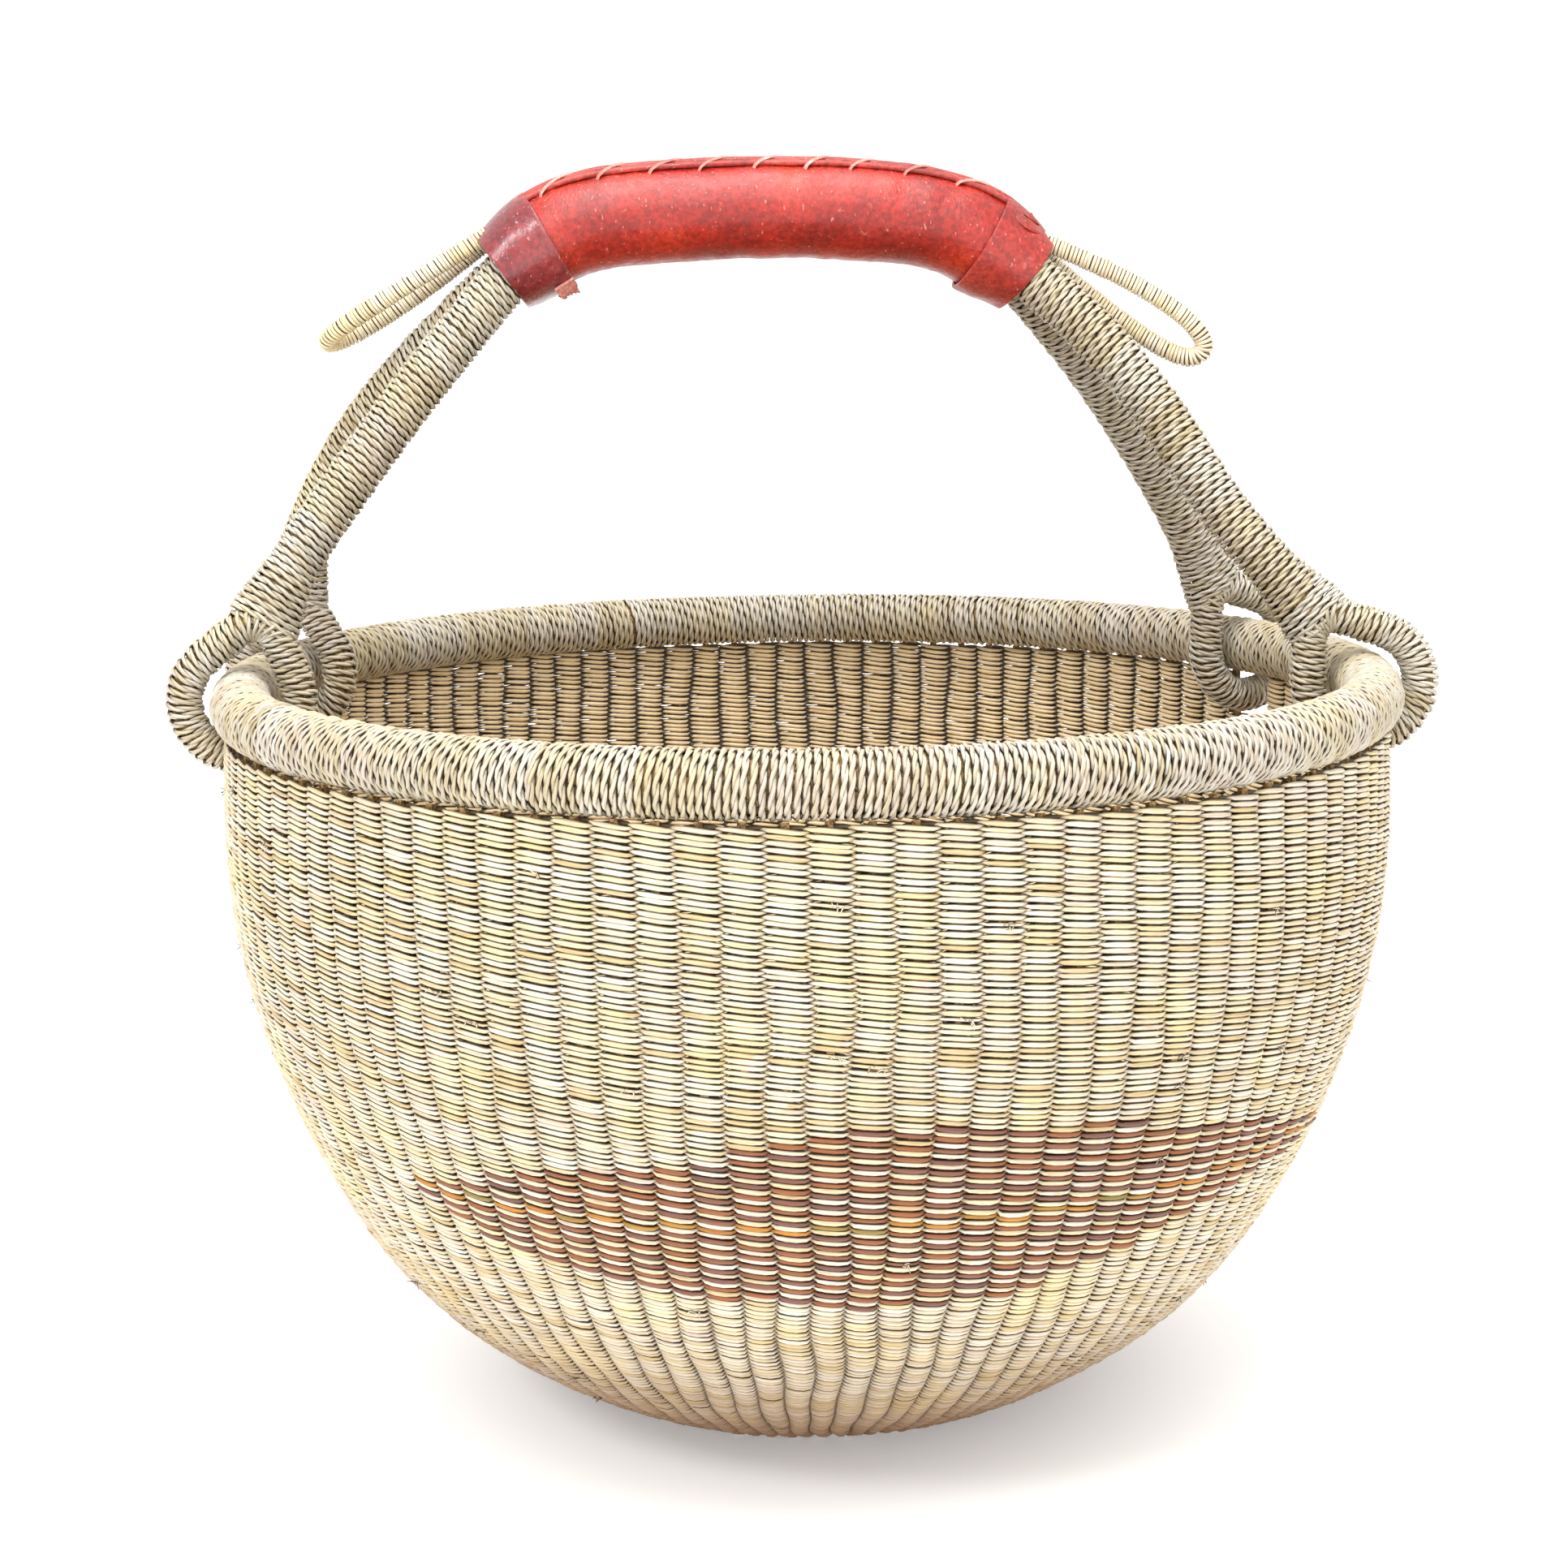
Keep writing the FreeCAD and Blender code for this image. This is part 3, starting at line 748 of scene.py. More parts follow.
# ------------------------------------------------------------------ the woven bowl
@dataclass
class Bowl:
    """The twined wall: stakes, rows of weft, and the woven start at the centre of the base."""

    # The wall's outside, from the base up: (radius, height) in millimetres.
    outline: tuple[tuple[float, float], ...] = (
        (60, 0), (84, 5.5), (104, 15), (126, 29), (146, 46), (164, 68), (179, 95),
        (192, 126), (203, 163), (207.5, 200), (207.6, 228), (206, 262))
    wall_depth: float = 6.2
    flat_run: float = 12.0
    under_roll: float = 1.5
    strand_radius: float = 1.04
    gap_radius: float = 0.6
    gap_swell: float = 1.1
    rib_wander: float = 0.65
    # The ribs' sideways waves, in radians a millimetre.
    wander_waves: tuple[float, ...] = (0.045, 0.083, 0.14)
    row_pitch: float = 1.98
    rib_height: float = 2.1
    rib_squareness: float = 0.5
    stitch_taper: float = 0.8
    # Painted shade in the gaps between stitches, and the extra that round ribs get.
    gap_shade: float = 0.3
    round_shade: float = 0.6
    # Towards the base the ribs are rounder, the gaps get more painted shade and the strands are
    # a little thinner.
    round_height: float = 140.0
    most_round: float = 1.2
    round_flattening: float = 0.75
    thin_height: float = 80.0
    thinning: float = 0.1
    # How uneven the hand is: spreads in millimetres, and shares of a strand's thickness.
    thickness_range: tuple[float, float] = (0.88, 1.12)
    frayed_thickness: float = 0.62
    lift_spread: float = 0.12
    drop_spread: float = 0.13
    wall_waviness: float = 0.5
    row_waviness: float = 0.9
    steady_height: float = 30.0
    points_per_length: float = 70.0
    first_radius: float = 24.5
    added_stake_radius: float = 76.0
    inner_stakes: int = 51
    outer_stakes: int = 102
    # Where a strand gets points, in shares of the way from one stake to the next.
    stitch_steps: tuple[float, ...] = (-0.38, -0.14, 0.14, 0.38, 0.5)
    # The slots that the rings pass through: degrees to each side, and depth below the rim.
    slot_half_angle: float = 2.45
    slot_bottom: float = 29.2
    most_spans: int = 4600
    fray_share: float = 0.005
    fray_fibres: int = 5
    fray_points: int = 4
    fray_lengths: tuple[float, float] = (1.2, 2.8)
    fray_radii: tuple[float, float] = (0.28, 0.12)
    lowest_fray: float = 15.0
    # Borders of the dyed crescent: (degrees round the rim, height).
    dye_top: tuple[tuple[float, float], ...] = (
        (226, 118), (243, 135), (263, 146), (272, 154), (284, 155), (300, 148), (320, 134),
        (342, 116))
    dye_bottom: tuple[tuple[float, float], ...] = (
        (226, 118), (240, 102), (254, 94.5), (264, 93), (278, 85.5), (290, 88), (304, 101),
        (320, 112), (342, 116))
    ochre_height: float = 119.5
    # Parts of the row of dyes, from 0 to 1.
    dark_dyes: tuple[float, float] = (0.0, 0.55)
    ochre_dyes: tuple[float, float] = (0.7, 1.0)
    plait_pitch: float = 2.3
    plait_radius: float = 1.15
    plait_lift: float = 0.95
    plait_margin: float = 0.6
    rng: np.random.Generator = field(default_factory=lambda: np.random.default_rng(11))

    def __post_init__(self) -> None:
        """Lay out the middle line of the wall, from near the centre up to the rim."""
        points = [(self.first_radius, 0, 0), (self.outline[0][0] - self.flat_run, 0, 0)]
        points += [(radius, 0, height) for radius, height in self.outline]
        line = route(points, 0.5)
        spine = Spine(line, UPWARD)
        middle = line + spine.normals * self.wall_depth / 2
        keep = middle[:, 2] < RIM_HEIGHT - RIM_ROLL_RADIUS + self.under_roll
        self.radius = middle[keep, 0]
        self.height = middle[keep, 2]
        self.slope = spine.tangents[keep]
        steps = np.hypot(np.diff(self.radius), np.diff(self.height))
        self.reached = np.concatenate([[0.0], np.cumsum(steps)])
        self.waves = self.rng.uniform(0, TURN, (3, 6))
        self.wander_phases = self.rng.uniform(0, TURN, (self.outer_stakes + 1, 3))
        self.wander_phases[-1] = self.wander_phases[0]
        self.frays: list[tuple[np.ndarray, np.ndarray, np.ndarray]] = []

    def zones(self) -> dict[str, tuple[float, float]]:
        """Heights between which each run of weft lies.

        Returns:
            For each zone, from the base up, its lowest and highest height in millimetres.
        """
        tops = {zone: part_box("outer_weft_" + zone)[1].z / MM
                for zone in ("base", "lower", "dyed_band", "upper")}
        limits = {}
        low = -1.0
        for zone, top in tops.items():
            limits[zone] = (low, top)
            low = top
        limits["upper"] = (limits["upper"][0], RIM_HEIGHT)
        return limits

    def sway(self, wave: Wave, angle: np.ndarray, distance: float) -> np.ndarray:
        """A slow unevenness round the wall, from -1 to 1.

        Args:
            wave: which way it goes.
            angle: places round the wall, in radians.
            distance: how far along the wall the row lies, in millimetres.

        Returns:
            The unevenness at each place.
        """
        total = np.zeros_like(angle)
        for order, phase in enumerate(self.waves[wave.value]):
            total += np.sin((2 * order + 1) * angle + phase + distance * (0.012 + 0.009 * order))
        return total / len(self.waves[wave.value])

    def wander(self, angle: np.ndarray, distance: float) -> np.ndarray:
        """How far each rib strays sideways, in millimetres.

        Args:
            angle: places round the wall, in radians.
            distance: how far along the wall the row lies, in millimetres.

        Returns:
            The stray at each place.
        """
        place = (angle / TURN * self.outer_stakes) % self.outer_stakes
        waves = np.sin(self.wander_phases + distance * np.array(self.wander_waves))
        strays = self.rib_wander * waves.sum(1)
        return np.interp(place, np.arange(self.outer_stakes + 1), strays)

    def dye_at(self, angle: np.ndarray, height: float) -> np.ndarray:
        """Whether a dyed strand passes, with the border as uneven as a hand leaves it.

        Args:
            angle: places round the wall, in radians.
            height: the row's height, in millimetres.

        Returns:
            1 where the strand is dyed and 0 elsewhere.
        """
        degrees = np.degrees(angle) % 360
        top = np.interp(degrees, *zip(*self.dye_top), left=0, right=0)
        bottom = np.interp(degrees, *zip(*self.dye_bottom), left=1, right=1)
        return ((height < top) & (height > bottom)).astype(float)

    def lengths_of_grass(self, count: int, mean: float) -> np.ndarray:
        """One random tone after another along a strand, each for about a mean number of points.

        Args:
            count: how many points the strand has.
            mean: how many points one length of grass has.

        Returns:
            A tone from 0 to 1 for each point.
        """
        changes = self.rng.random(count) < 1.0 / mean
        tones = self.rng.random(changes.sum() + 1)
        return tones[np.cumsum(changes)]

    def row(self, index: int, distance: float) -> list[Strand]:
        """The two strands of one row of twining.

        Args:
            index: the row's number, counted from the centre.
            distance: its distance along the wall.

        Returns:
            Closed strands, or arcs where the rings of the handle pass through the wall.
        """
        radius = float(np.interp(distance, self.reached, self.radius))
        height = float(np.interp(distance, self.reached, self.height))
        along = [float(np.interp(distance, self.reached, self.slope[:, axis])) for axis in (0, 2)]
        stakes = self.inner_stakes if radius < self.added_stake_radius else self.outer_stakes
        laps = 2 if stakes == self.inner_stakes else 1
        spans = stakes * laps
        step = (np.arange(spans)[:, None] + np.array(self.stitch_steps)).ravel()
        stitch = np.repeat(np.arange(spans), len(self.stitch_steps))
        open_row = height > RIM_HEIGHT - self.slot_bottom
        near_base = float(np.clip(1 - height / self.thin_height, 0, 1))
        roundness = float(np.clip(self.most_round - height / self.round_height, 0, 1))
        strands = []
        for strand in range(2 if laps == 1 else 1):
            turned = step + (strand + index) % 2
            pass_side = np.cos(np.pi * turned)
            swing = np.sign(pass_side) * np.abs(pass_side) ** self.rib_squareness
            tilt = -np.sin(np.pi * turned)
            angle = step / stakes * TURN
            frayed = self.rng.random(spans) < self.fray_share
            fat = np.where(frayed, self.frayed_thickness,
                           self.rng.uniform(*self.thickness_range, spans))[stitch]
            lift = self.rng.normal(0, self.lift_spread, spans)[stitch]
            drop = self.rng.normal(0, self.drop_spread, spans)[stitch]
            swell = self.gap_swell * (1 - self.round_flattening * roundness)
            out = ((self.rib_height + lift) * swing + swell * (1 - np.abs(pass_side))
                   + self.wall_waviness * self.sway(Wave.OUTWARD, angle, distance))
            rise = (self.row_pitch / 4 * tilt + drop
                    + self.row_waviness * self.sway(Wave.UPWARD, angle, distance)
                    * min(1.0, height / self.steady_height))
            if stakes == self.outer_stakes:
                angle = angle + self.wander(angle, distance) / radius
            around = np.stack([np.cos(angle), np.sin(angle)], 1)
            reach = radius + out * along[1] + rise * along[0]
            show = np.abs(pass_side) ** self.stitch_taper
            thick = (self.gap_radius + (self.strand_radius - self.gap_radius) * show) * fat
            thick = thick * (1 - self.thinning * near_base)
            level = np.maximum(height - out * along[0] + rise * along[1], thick)
            points = np.column_stack([around * reach[:, None], level])
            outward = np.column_stack([around * along[1], np.full(len(step), -along[0])])
            outward *= np.sign(pass_side + 0.2)[:, None]
            dye = self.dye_at(stitch / stakes * TURN, height) * (strand == 0)
            near_ochre = height - self.ochre_height
            dye_tone = self.rng.uniform(*self.dark_dyes, spans)[stitch]
            if abs(near_ochre) <= self.row_pitch:
                dye_tone = self.rng.uniform(*self.ochre_dyes, spans)[stitch]
            tone = self.lengths_of_grass(len(step), self.points_per_length)
            tone = tone + self.rng.normal(0, 0.12, spans)[stitch]
            # Painted shade in the gaps between stitches, more where the ribs are round; passes on
            # the inner face get the painted warm tint.
            marks = {
                "tone": np.clip(tone, 0, 1),
                "painted_shade": ((self.gap_shade + self.round_shade * roundness)
                           * (1 - np.clip(np.abs(pass_side) ** 0.5 * 1.5, 0, 1))),
                "inside": (pass_side < -0.2).astype(float),
                "dye": dye, "dye_tone": dye_tone,
            }
            middles = np.flatnonzero(frayed) * len(self.stitch_steps) + 2
            shown = middles[(pass_side[middles] > 0) & (level[middles] > self.lowest_fray)]
            self.frays += [(points[i], points[i + 1] - points[i], outward[i]) for i in shown]
            whole = Strand(points, thick, outward, marks, closed=True)
            strands += self.parted(whole, angle) if open_row else [whole]
        return strands

    def parted(self, whole: Strand, angle: np.ndarray) -> list[Strand]:
        """Part a closed row where the handle's rings pass through it.

        Args:
            whole: the closed strand.
            angle: where its points lie round the wall, in radians.

        Returns:
            The open arcs between the rings.
        """
        degrees = np.degrees(angle)
        places = sorted(place % 360 for place, _ in RINGS.values())
        arcs = []
        for start, end in zip(places, places[1:] + [places[0] + 360]):
            turned = (degrees - start) % 360
            inside = (turned > self.slot_half_angle) & (turned < end - start - self.slot_half_angle)
            chosen = np.flatnonzero(inside)
            chosen = chosen[np.argsort(turned[chosen])]
            marks = {key: values[chosen] for key, values in whole.marks.items()}
            arcs.append(Strand(whole.points[chosen], whole.radius[chosen],
                               whole.outward[chosen], marks))
        return arcs

    def build_weft(self, finishes: Finishes) -> None:
        """Weave every row and part the rows into pieces of a fair size.

        Args:
            finishes: all the basket's materials.
        """
        rows = int(self.reached[-1] / self.row_pitch)
        distances = (np.arange(rows) + 0.5) * self.row_pitch
        heights = np.interp(distances, self.reached, self.height)
        for zone, (low, high) in self.zones().items():
            chosen = [i for i in range(rows) if low <= heights[i] - self.wall_depth / 2 < high]
            batch: list[Strand] = []
            spans = part = 0
            for place, index in enumerate(chosen):
                strands = self.row(index, float(distances[index]))
                batch += strands
                spans += sum(len(s.points) for s in strands) / len(self.stitch_steps)
                if spans > self.most_spans - 2 * self.outer_stakes or place == len(chosen) - 1:
                    part += 1
                    self.weft_piece(f"weft_{zone}_{part}", zone, batch, finishes)
                    batch, spans = [], 0

    def weft_piece(self, name: str, zone: str, strands: list[Strand],
                   finishes: Finishes) -> None:
        """Make one run of rows into a piece.

        Args:
            name: the piece's name.
            zone: the run of weft that it belongs to.
            strands: its strands.
            finishes: all the basket's materials.
        """
        mesh = strand_mesh(name, strands, Section.FOUR_SIDES, level=True)
        dyed = zone == "dyed_band"
        finish_piece(name, mesh, finishes.dyed_weft if dyed else finishes.weft, "basket",
                     ("outer_weft_" + zone, "inner_weft_" + zone))

    def build_start(self, finishes: Finishes) -> None:
        """Plait the round start of the base, strands over and under one another.

        Args:
            finishes: all the basket's materials.
        """
        pitch = self.plait_pitch
        limit = self.first_radius - self.plait_margin
        most = int(limit / pitch)
        strands = []
        for turned in (False, True):
            for index in range(-most, most + 1):
                offset = index * pitch
                reach = math.sqrt(max(limit ** 2 - offset ** 2, 4.0))
                along = np.arange(-reach, reach + pitch / 4, pitch / 2)
                lift = np.cos(np.pi * (along / pitch + index + turned))
                level = self.wall_depth / 2 + self.plait_lift * lift
                flat = [along, np.full(len(along), offset)]
                points = np.column_stack(flat[::-1] + [level] if turned else flat + [level])
                outward = np.column_stack([np.zeros((len(along), 2)), np.sign(lift + 1e-6)])
                # Painted shade where a strand dips under the crossing ones.
                marks = {"tone": np.full(len(along), self.rng.random()),
                         "painted_shade": 0.5 * (1 - np.abs(lift))}
                radius = np.full(len(along), self.plait_radius)
                strands.append(Strand(points, radius, outward, marks))
        mesh = strand_mesh("base_start_plait", strands, Section.SIX_SIDES)
        finish_piece("base_start_plait", mesh, finishes.weft, "basket",
                     ("base_start_disc",))

    def build_frays(self, finishes: Finishes) -> None:
        """Let the split ends of spliced strands stick out of their stitches.

        Args:
            finishes: all the basket's materials.
        """
        strands = []
        for place, along, outward in self.frays:
            along, across = unit(along), unit(np.cross(outward, along))
            for _ in range(self.fray_fibres):
                start = place + along * self.rng.normal(0, 1.3) + across * self.rng.normal(0, 0.3)
                lean = unit(along * self.rng.normal(0, 1.0) + across * self.rng.normal(0, 0.7)
                            + outward * 0.45)
                length = self.rng.uniform(*self.fray_lengths)
                curl = np.linspace(0, 1, self.fray_points)[:, None]
                line = start + outward * 0.5 + lean * length * curl + outward * 0.5 * curl ** 2
                # Painted shade at the root, where the fibre leaves its stitch.
                marks = {"tone": np.full(len(line), self.rng.random()),
                         "painted_shade": 0.8 * (np.arange(len(line)) == 0)}
                radius = np.linspace(*self.fray_radii, len(line))
                strands.append(Strand(line, radius, np.repeat(outward[None], len(line), 0), marks))
        mesh = strand_mesh("frayed_strand_ends", strands, Section.FOUR_SIDES)
        finish_piece("frayed_strand_ends", mesh, finishes.weft, "basket")

    def build(self, finishes: Finishes) -> None:
        """Build the whole bowl.

        Args:
            finishes: all the basket's materials.
        """
        self.build_weft(finishes)
        self.build_frays(finishes)
        self.build_start(finishes)
        for node in ("stakes_long", "stakes_added", "rim_core"):
            dress_node(node, finishes.bundle)


# ------------------------------------------------------------------ cord windings
@dataclass
class Winding:
    """Grass cord wound round a core, turn beside turn, in millimetres."""

    rng: np.random.Generator
    cord_radius: float = 1.08
    pitch: float = 2.44
    lay: float = 12.4
    plies: int = 2
    side_offset: float = 0.56
    height_offset: float = 0.44
    ply_radius: float = 0.68
    ply_swell: float = 0.22
    step: float = 2.0
    fewest_steps: int = 10
    turns_per_length: float = 8.0
    slant: float = 0.0
    spacing_spread: float = 0.14
    height_spread: float = 0.07
    twist_drift: float = 0.06
    tuck_turns: float = 0.6

    def wind(self, spine: Spine, start: float, end: float,
             radius: Callable[[np.ndarray, np.ndarray], np.ndarray], hand: int = 1,
             tuck: float = 0.0) -> list[Strand]:
        """Wind the cord along a spine.

        Args:
            spine: the core's centre line.
            start: distance along it where the winding starts.
            end: distance where it ends.
            radius: the core's radius, from distance and angle round it.
            hand: 1 or -1 for the way that the cord goes round.
            tuck: how far the two ends dive under, in millimetres.

        Returns:
            One strand for each ply.
        """
        mean = float(radius(np.array([(start + end) / 2]), np.array([0.0]))[0]) + self.cord_radius
        per_turn = max(self.fewest_steps, int(round(TURN * mean / self.step)))
        turns = (end - start) / self.pitch
        count = int(turns * per_turn)
        place = np.arange(count) / per_turn
        angle = hand * TURN * place
        distance = start + place * self.pitch + self.slant * mean * np.cos(angle)
        whole_turns = np.arange(int(turns) + 3)
        distance += np.interp(place, whole_turns,
                              self.rng.normal(0, self.spacing_spread, len(whole_turns)))
        centre, along, normal, binormal = spine.at(np.clip(distance, 0, spine.length))
        outward = normal * np.cos(angle)[:, None] + binormal * np.sin(angle)[:, None]
        core = radius(distance, angle) + self.cord_radius
        ends = np.minimum(place, place[-1] - place)
        core = core - tuck * (1 - smooth_step(ends / self.tuck_turns))
        core = core + np.interp(place, whole_turns,
                                self.rng.normal(0, self.height_spread, len(whole_turns)))
        middle = centre + outward * core[:, None]
        run = np.concatenate([[0.0], np.cumsum(np.linalg.norm(np.diff(middle, axis=0), axis=1))])
        drift = np.cumsum(self.rng.normal(0, self.twist_drift, count))
        tones = self.rng.random(int(turns / self.turns_per_length) + 3)
        lengths = place / self.turns_per_length + self.rng.random()
        strands = []
        for ply in range(self.plies):
            twist = -hand * run / self.lay * TURN + drift + ply * TURN / self.plies
            top = np.cos(twist) if self.plies > 1 else np.zeros(count)
            beside = np.sin(twist) if self.plies > 1 else np.zeros(count)
            points = (middle + outward * (self.height_offset * top)[:, None]
                      + along * (self.side_offset * beside)[:, None])
            tone = tones[lengths.astype(int)] + self.rng.normal(0, 0.08) + 0.06 * np.sin(run / 31)
            # Painted shade where a ply turns under the other.
            marks = {"tone": np.clip(tone, 0, 1), "painted_shade": np.clip(-0.2 - top * 0.8, 0, 1)}
            strands.append(Strand(points, self.ply_radius + self.ply_swell * top ** 2,
                                  outward, marks))
        return strands


@dataclass
class Rim:
    """The roll round the mouth of the bowl, bound in eight sections."""

    places: tuple[str, ...] = ("right", "back_right", "back", "back_left",
                               "left", "front_left", "front", "front_right")
    core_radius: float = 8.5
    points_per_section: int = 160
    first_seed: int = 40

    def build(self, finishes: Finishes) -> None:
        """Wind each section of the rim.

        Args:
            finishes: all the basket's materials.
        """
        step = TURN / len(self.places)
        for index, place in enumerate(self.places):
            angles = np.linspace((index - 0.5) * step, (index + 0.5) * step,
                                 self.points_per_section)
            line = np.column_stack([RIM_RADIUS * np.cos(angles), RIM_RADIUS * np.sin(angles),
                                    np.full(len(angles), RIM_HEIGHT)])
            spine = Spine(line, UPWARD)
            winding = Winding(np.random.default_rng(self.first_seed + index), turns_per_length=7.0,
                              slant=0.12)
            strands = winding.wind(spine, 0.0, spine.length, lambda s, a: self.core_radius + 0 * s)
            name = "rim_binding_" + place
            mesh = strand_mesh(name, strands, Section.FOUR_SIDES)
            finish_piece(name, mesh, finishes.cord, "basket",
                         ("rim_wrap_" + place,))


@dataclass
class Ring:
    """One bound ring that holds a leg of the handle to the rim."""

    name: str
    core_radius: float = RING_CORD_RADIUS - CORD_THICKNESS
    bend_points: int = 14
    ring_points: int = 60
    first_seed: int = 60

    def __post_init__(self) -> None:
        """Find the ring's plane."""
        angle, lean = (math.radians(value) for value in RINGS[self.name])
        outward = np.array([math.cos(angle), math.sin(angle), 0.0])
        self.axis = UPWARD * math.cos(lean) - outward * math.sin(lean)
        self.across = outward * math.cos(lean) + UPWARD * math.sin(lean)
        self.centre = outward * RIM_RADIUS + UPWARD * RIM_HEIGHT

    def place(self, distance: float) -> np.ndarray:
        """A point on the ring's long axis."""
        return self.centre + self.axis * distance

    def line(self) -> np.ndarray:
        """The ring's closed line, from its top, down one side and up the other.

        Returns:
            Points half a millimetre apart.
        """
        bend_distance = CROTCH_DISTANCE + RING_CORD_RADIUS - CROTCH_BEND
        rise = math.asin((RING_RADIUS - CROTCH_BEND) / bend_distance)
        top = np.linspace(math.pi / 2, rise, self.bend_points)
        low = np.linspace(rise, -math.pi / 2, self.ring_points)
        half = [(CROTCH_BEND * math.cos(a), bend_distance + CROTCH_BEND * math.sin(a))
                for a in top]
        half += [(RING_RADIUS * math.cos(a), RING_RADIUS * math.sin(a)) for a in low]
        outline = half + [(-across, along) for across, along in half[-2::-1]]
        line = np.array([self.centre + self.across * across + self.axis * along
                         for across, along in outline])
        return evenly(line, 0.5)

    def build(self, finishes: Finishes) -> None:
        """Wind the ring's cord.

        Args:
            finishes: all the basket's materials.
        """
        spine = Spine(self.line(), np.cross(self.across, self.axis))
        seed = self.first_seed + sorted(RINGS).index(self.name)
        winding = Winding(np.random.default_rng(seed), pitch=2.45, turns_per_length=12.0,
                          slant=-0.08)
        strands = winding.wind(spine, 0.0, spine.length, lambda s, a: self.core_radius + 0 * s,
                               hand=-1)
        name = "ring_binding_" + self.name
        mesh = strand_mesh(name, strands, Section.FOUR_SIDES)
        finish_piece(name, mesh, finishes.cord, "handle",
                     ("ring_wrap_" + self.name,))
        dress_node("ring_core_" + self.name, finishes.bundle)


# ------------------------------------------------------------------ the handle
def grip_point(x: float, height: float, forward: float = 0.0) -> np.ndarray:
    """A point in the handle's upright plane, or a distance in front of it.

    Args:
        x: how far it lies to the right.
        height: its height.
        forward: how far in front of the plane it lies.

    Returns:
        The point, in millimetres.
    """
    across = HANDLE_ALONG * (x / HANDLE_ALONG[0])
    return np.array([0.0, HANDLE_PLANE_Y, height]) + across - HANDLE_BACK * forward


def grip_end(side: Side) -> tuple[np.ndarray, np.ndarray]:
    """The middle of one end of the grip, and the direction that it faces.

    Args:
        side: which end.

    Returns:
        The point in millimetres and the direction at length one.
    """
    inner = GRIP_LINE[0] if side is Side.LEFT else GRIP_LINE[-1]
    face = grip_point(*GRIP_ENDS[side])
    return face, unit(face - grip_point(*inner))


def outside_grip(line: np.ndarray, side: Side, hidden: float) -> np.ndarray:
    """The part of a line beyond one end of the grip, and a short hidden length inside it.

    Args:
        line: points in order.
        side: which end of the grip.
        hidden: the length that stays inside, in millimetres.

    Returns:
        The points that are kept.
    """
    face, outward = grip_end(side)
    return line[(line - face) @ outward > -hidden]


@dataclass
class Leg:
    """One bound leg: round at the grip, spreading where it meets the two sides of its ring."""

    name: str
    hidden: float = 5.0
    fork_length: float = 30.0
    fork_width: float = 4.6
    fork_thinning: float = 1.6
    fork_rise: float = 4.0
    end_gap: float = 1.0
    tuck: float = 1.6
    first_seed: int = 80

    def radius(self, distance: np.ndarray, angle: np.ndarray) -> np.ndarray:
        """The core's radius, from the distance above the fork and the angle round the leg.

        Args:
            distance: distances above the fork, in millimetres.
            angle: places round the leg, in radians.

        Returns:
            The radius at each place, in millimetres.
        """
        core = LEG_RADIUS - CORD_THICKNESS
        spread = 1 - smooth_step(distance / self.fork_length)
        wide = core + self.fork_width * spread
        thin = core - self.fork_thinning * spread
        return wide * thin / np.hypot(thin * np.cos(angle), wide * np.sin(angle))

    def build(self, finishes: Finishes) -> None:
        """Wind the leg's cord, from the fork up into the grip.

        Args:
            finishes: all the basket's materials.
        """
        bow, side_name = self.name.split("_")
        side = Side(side_name)
        forward = BOW_SPACING if bow == "front" else -BOW_SPACING
        ends = GRIP_LINE[:3] if side is Side.LEFT else GRIP_LINE[:-4:-1]
        ring = Ring(self.name)
        points = [ring.place(CROTCH_DISTANCE + self.fork_rise)] + LEGS[self.name][::-1]
        points += [grip_point(x, z, forward) for x, z in ends]
        line = outside_grip(route(points, 1.0), side, self.hidden)
        spine = Spine(line, ring.across)
        seed = self.first_seed + sorted(LEGS).index(self.name)
        hand = 1 if side is Side.LEFT else -1
        winding = Winding(np.random.default_rng(seed), turns_per_length=9.0, slant=0.16)
        strands = winding.wind(spine, self.end_gap, spine.length - self.end_gap, self.radius,
                               hand=hand, tuck=self.tuck)
        name = "leg_binding_" + self.name
        mesh = strand_mesh(name, strands, Section.FOUR_SIDES)
        finish_piece(name, mesh, finishes.cord, "handle",
                     ("leg_wrap_" + self.name,))


@dataclass
class EndLoop:
    """The small bound loop that stands out from under an end band."""

    side: Side
    hidden: float = 6.0
    end_gap: float = 0.5
    strand_thickness: float = 1.4
    first_seed: int = 90

    def build(self, finishes: Finishes) -> None:
        """Wind the loop's fine strand.

        Args:
            finishes: all the basket's materials.
        """
        line = outside_grip(route(END_LOOPS[self.side], 0.8), self.side, self.hidden)
        spine = Spine(line, UPWARD)
        seed = self.first_seed + (self.side is Side.RIGHT)
        winding = Winding(np.random.default_rng(seed), cord_radius=0.7, pitch=1.42, plies=1,
                          ply_radius=0.74, step=1.35, turns_per_length=22.0)
        core = END_LOOP_CORD_RADIUS - self.strand_thickness
        strands = winding.wind(spine, self.end_gap, spine.length - self.end_gap,
                               lambda s, a: core + 0 * s)
        name = "end_loop_binding_" + self.side.value
        mesh = strand_mesh(name, strands, Section.FOUR_SIDES)
        finish_piece(name, mesh, finishes.fine_cord, "handle",
                     ("end_loop_wrap_" + self.side.value,))
        dress_node("end_loop_core_" + self.side.value, finishes.bundle)


Shape = Callable[[np.ndarray, np.ndarray], tuple[np.ndarray, np.ndarray]]


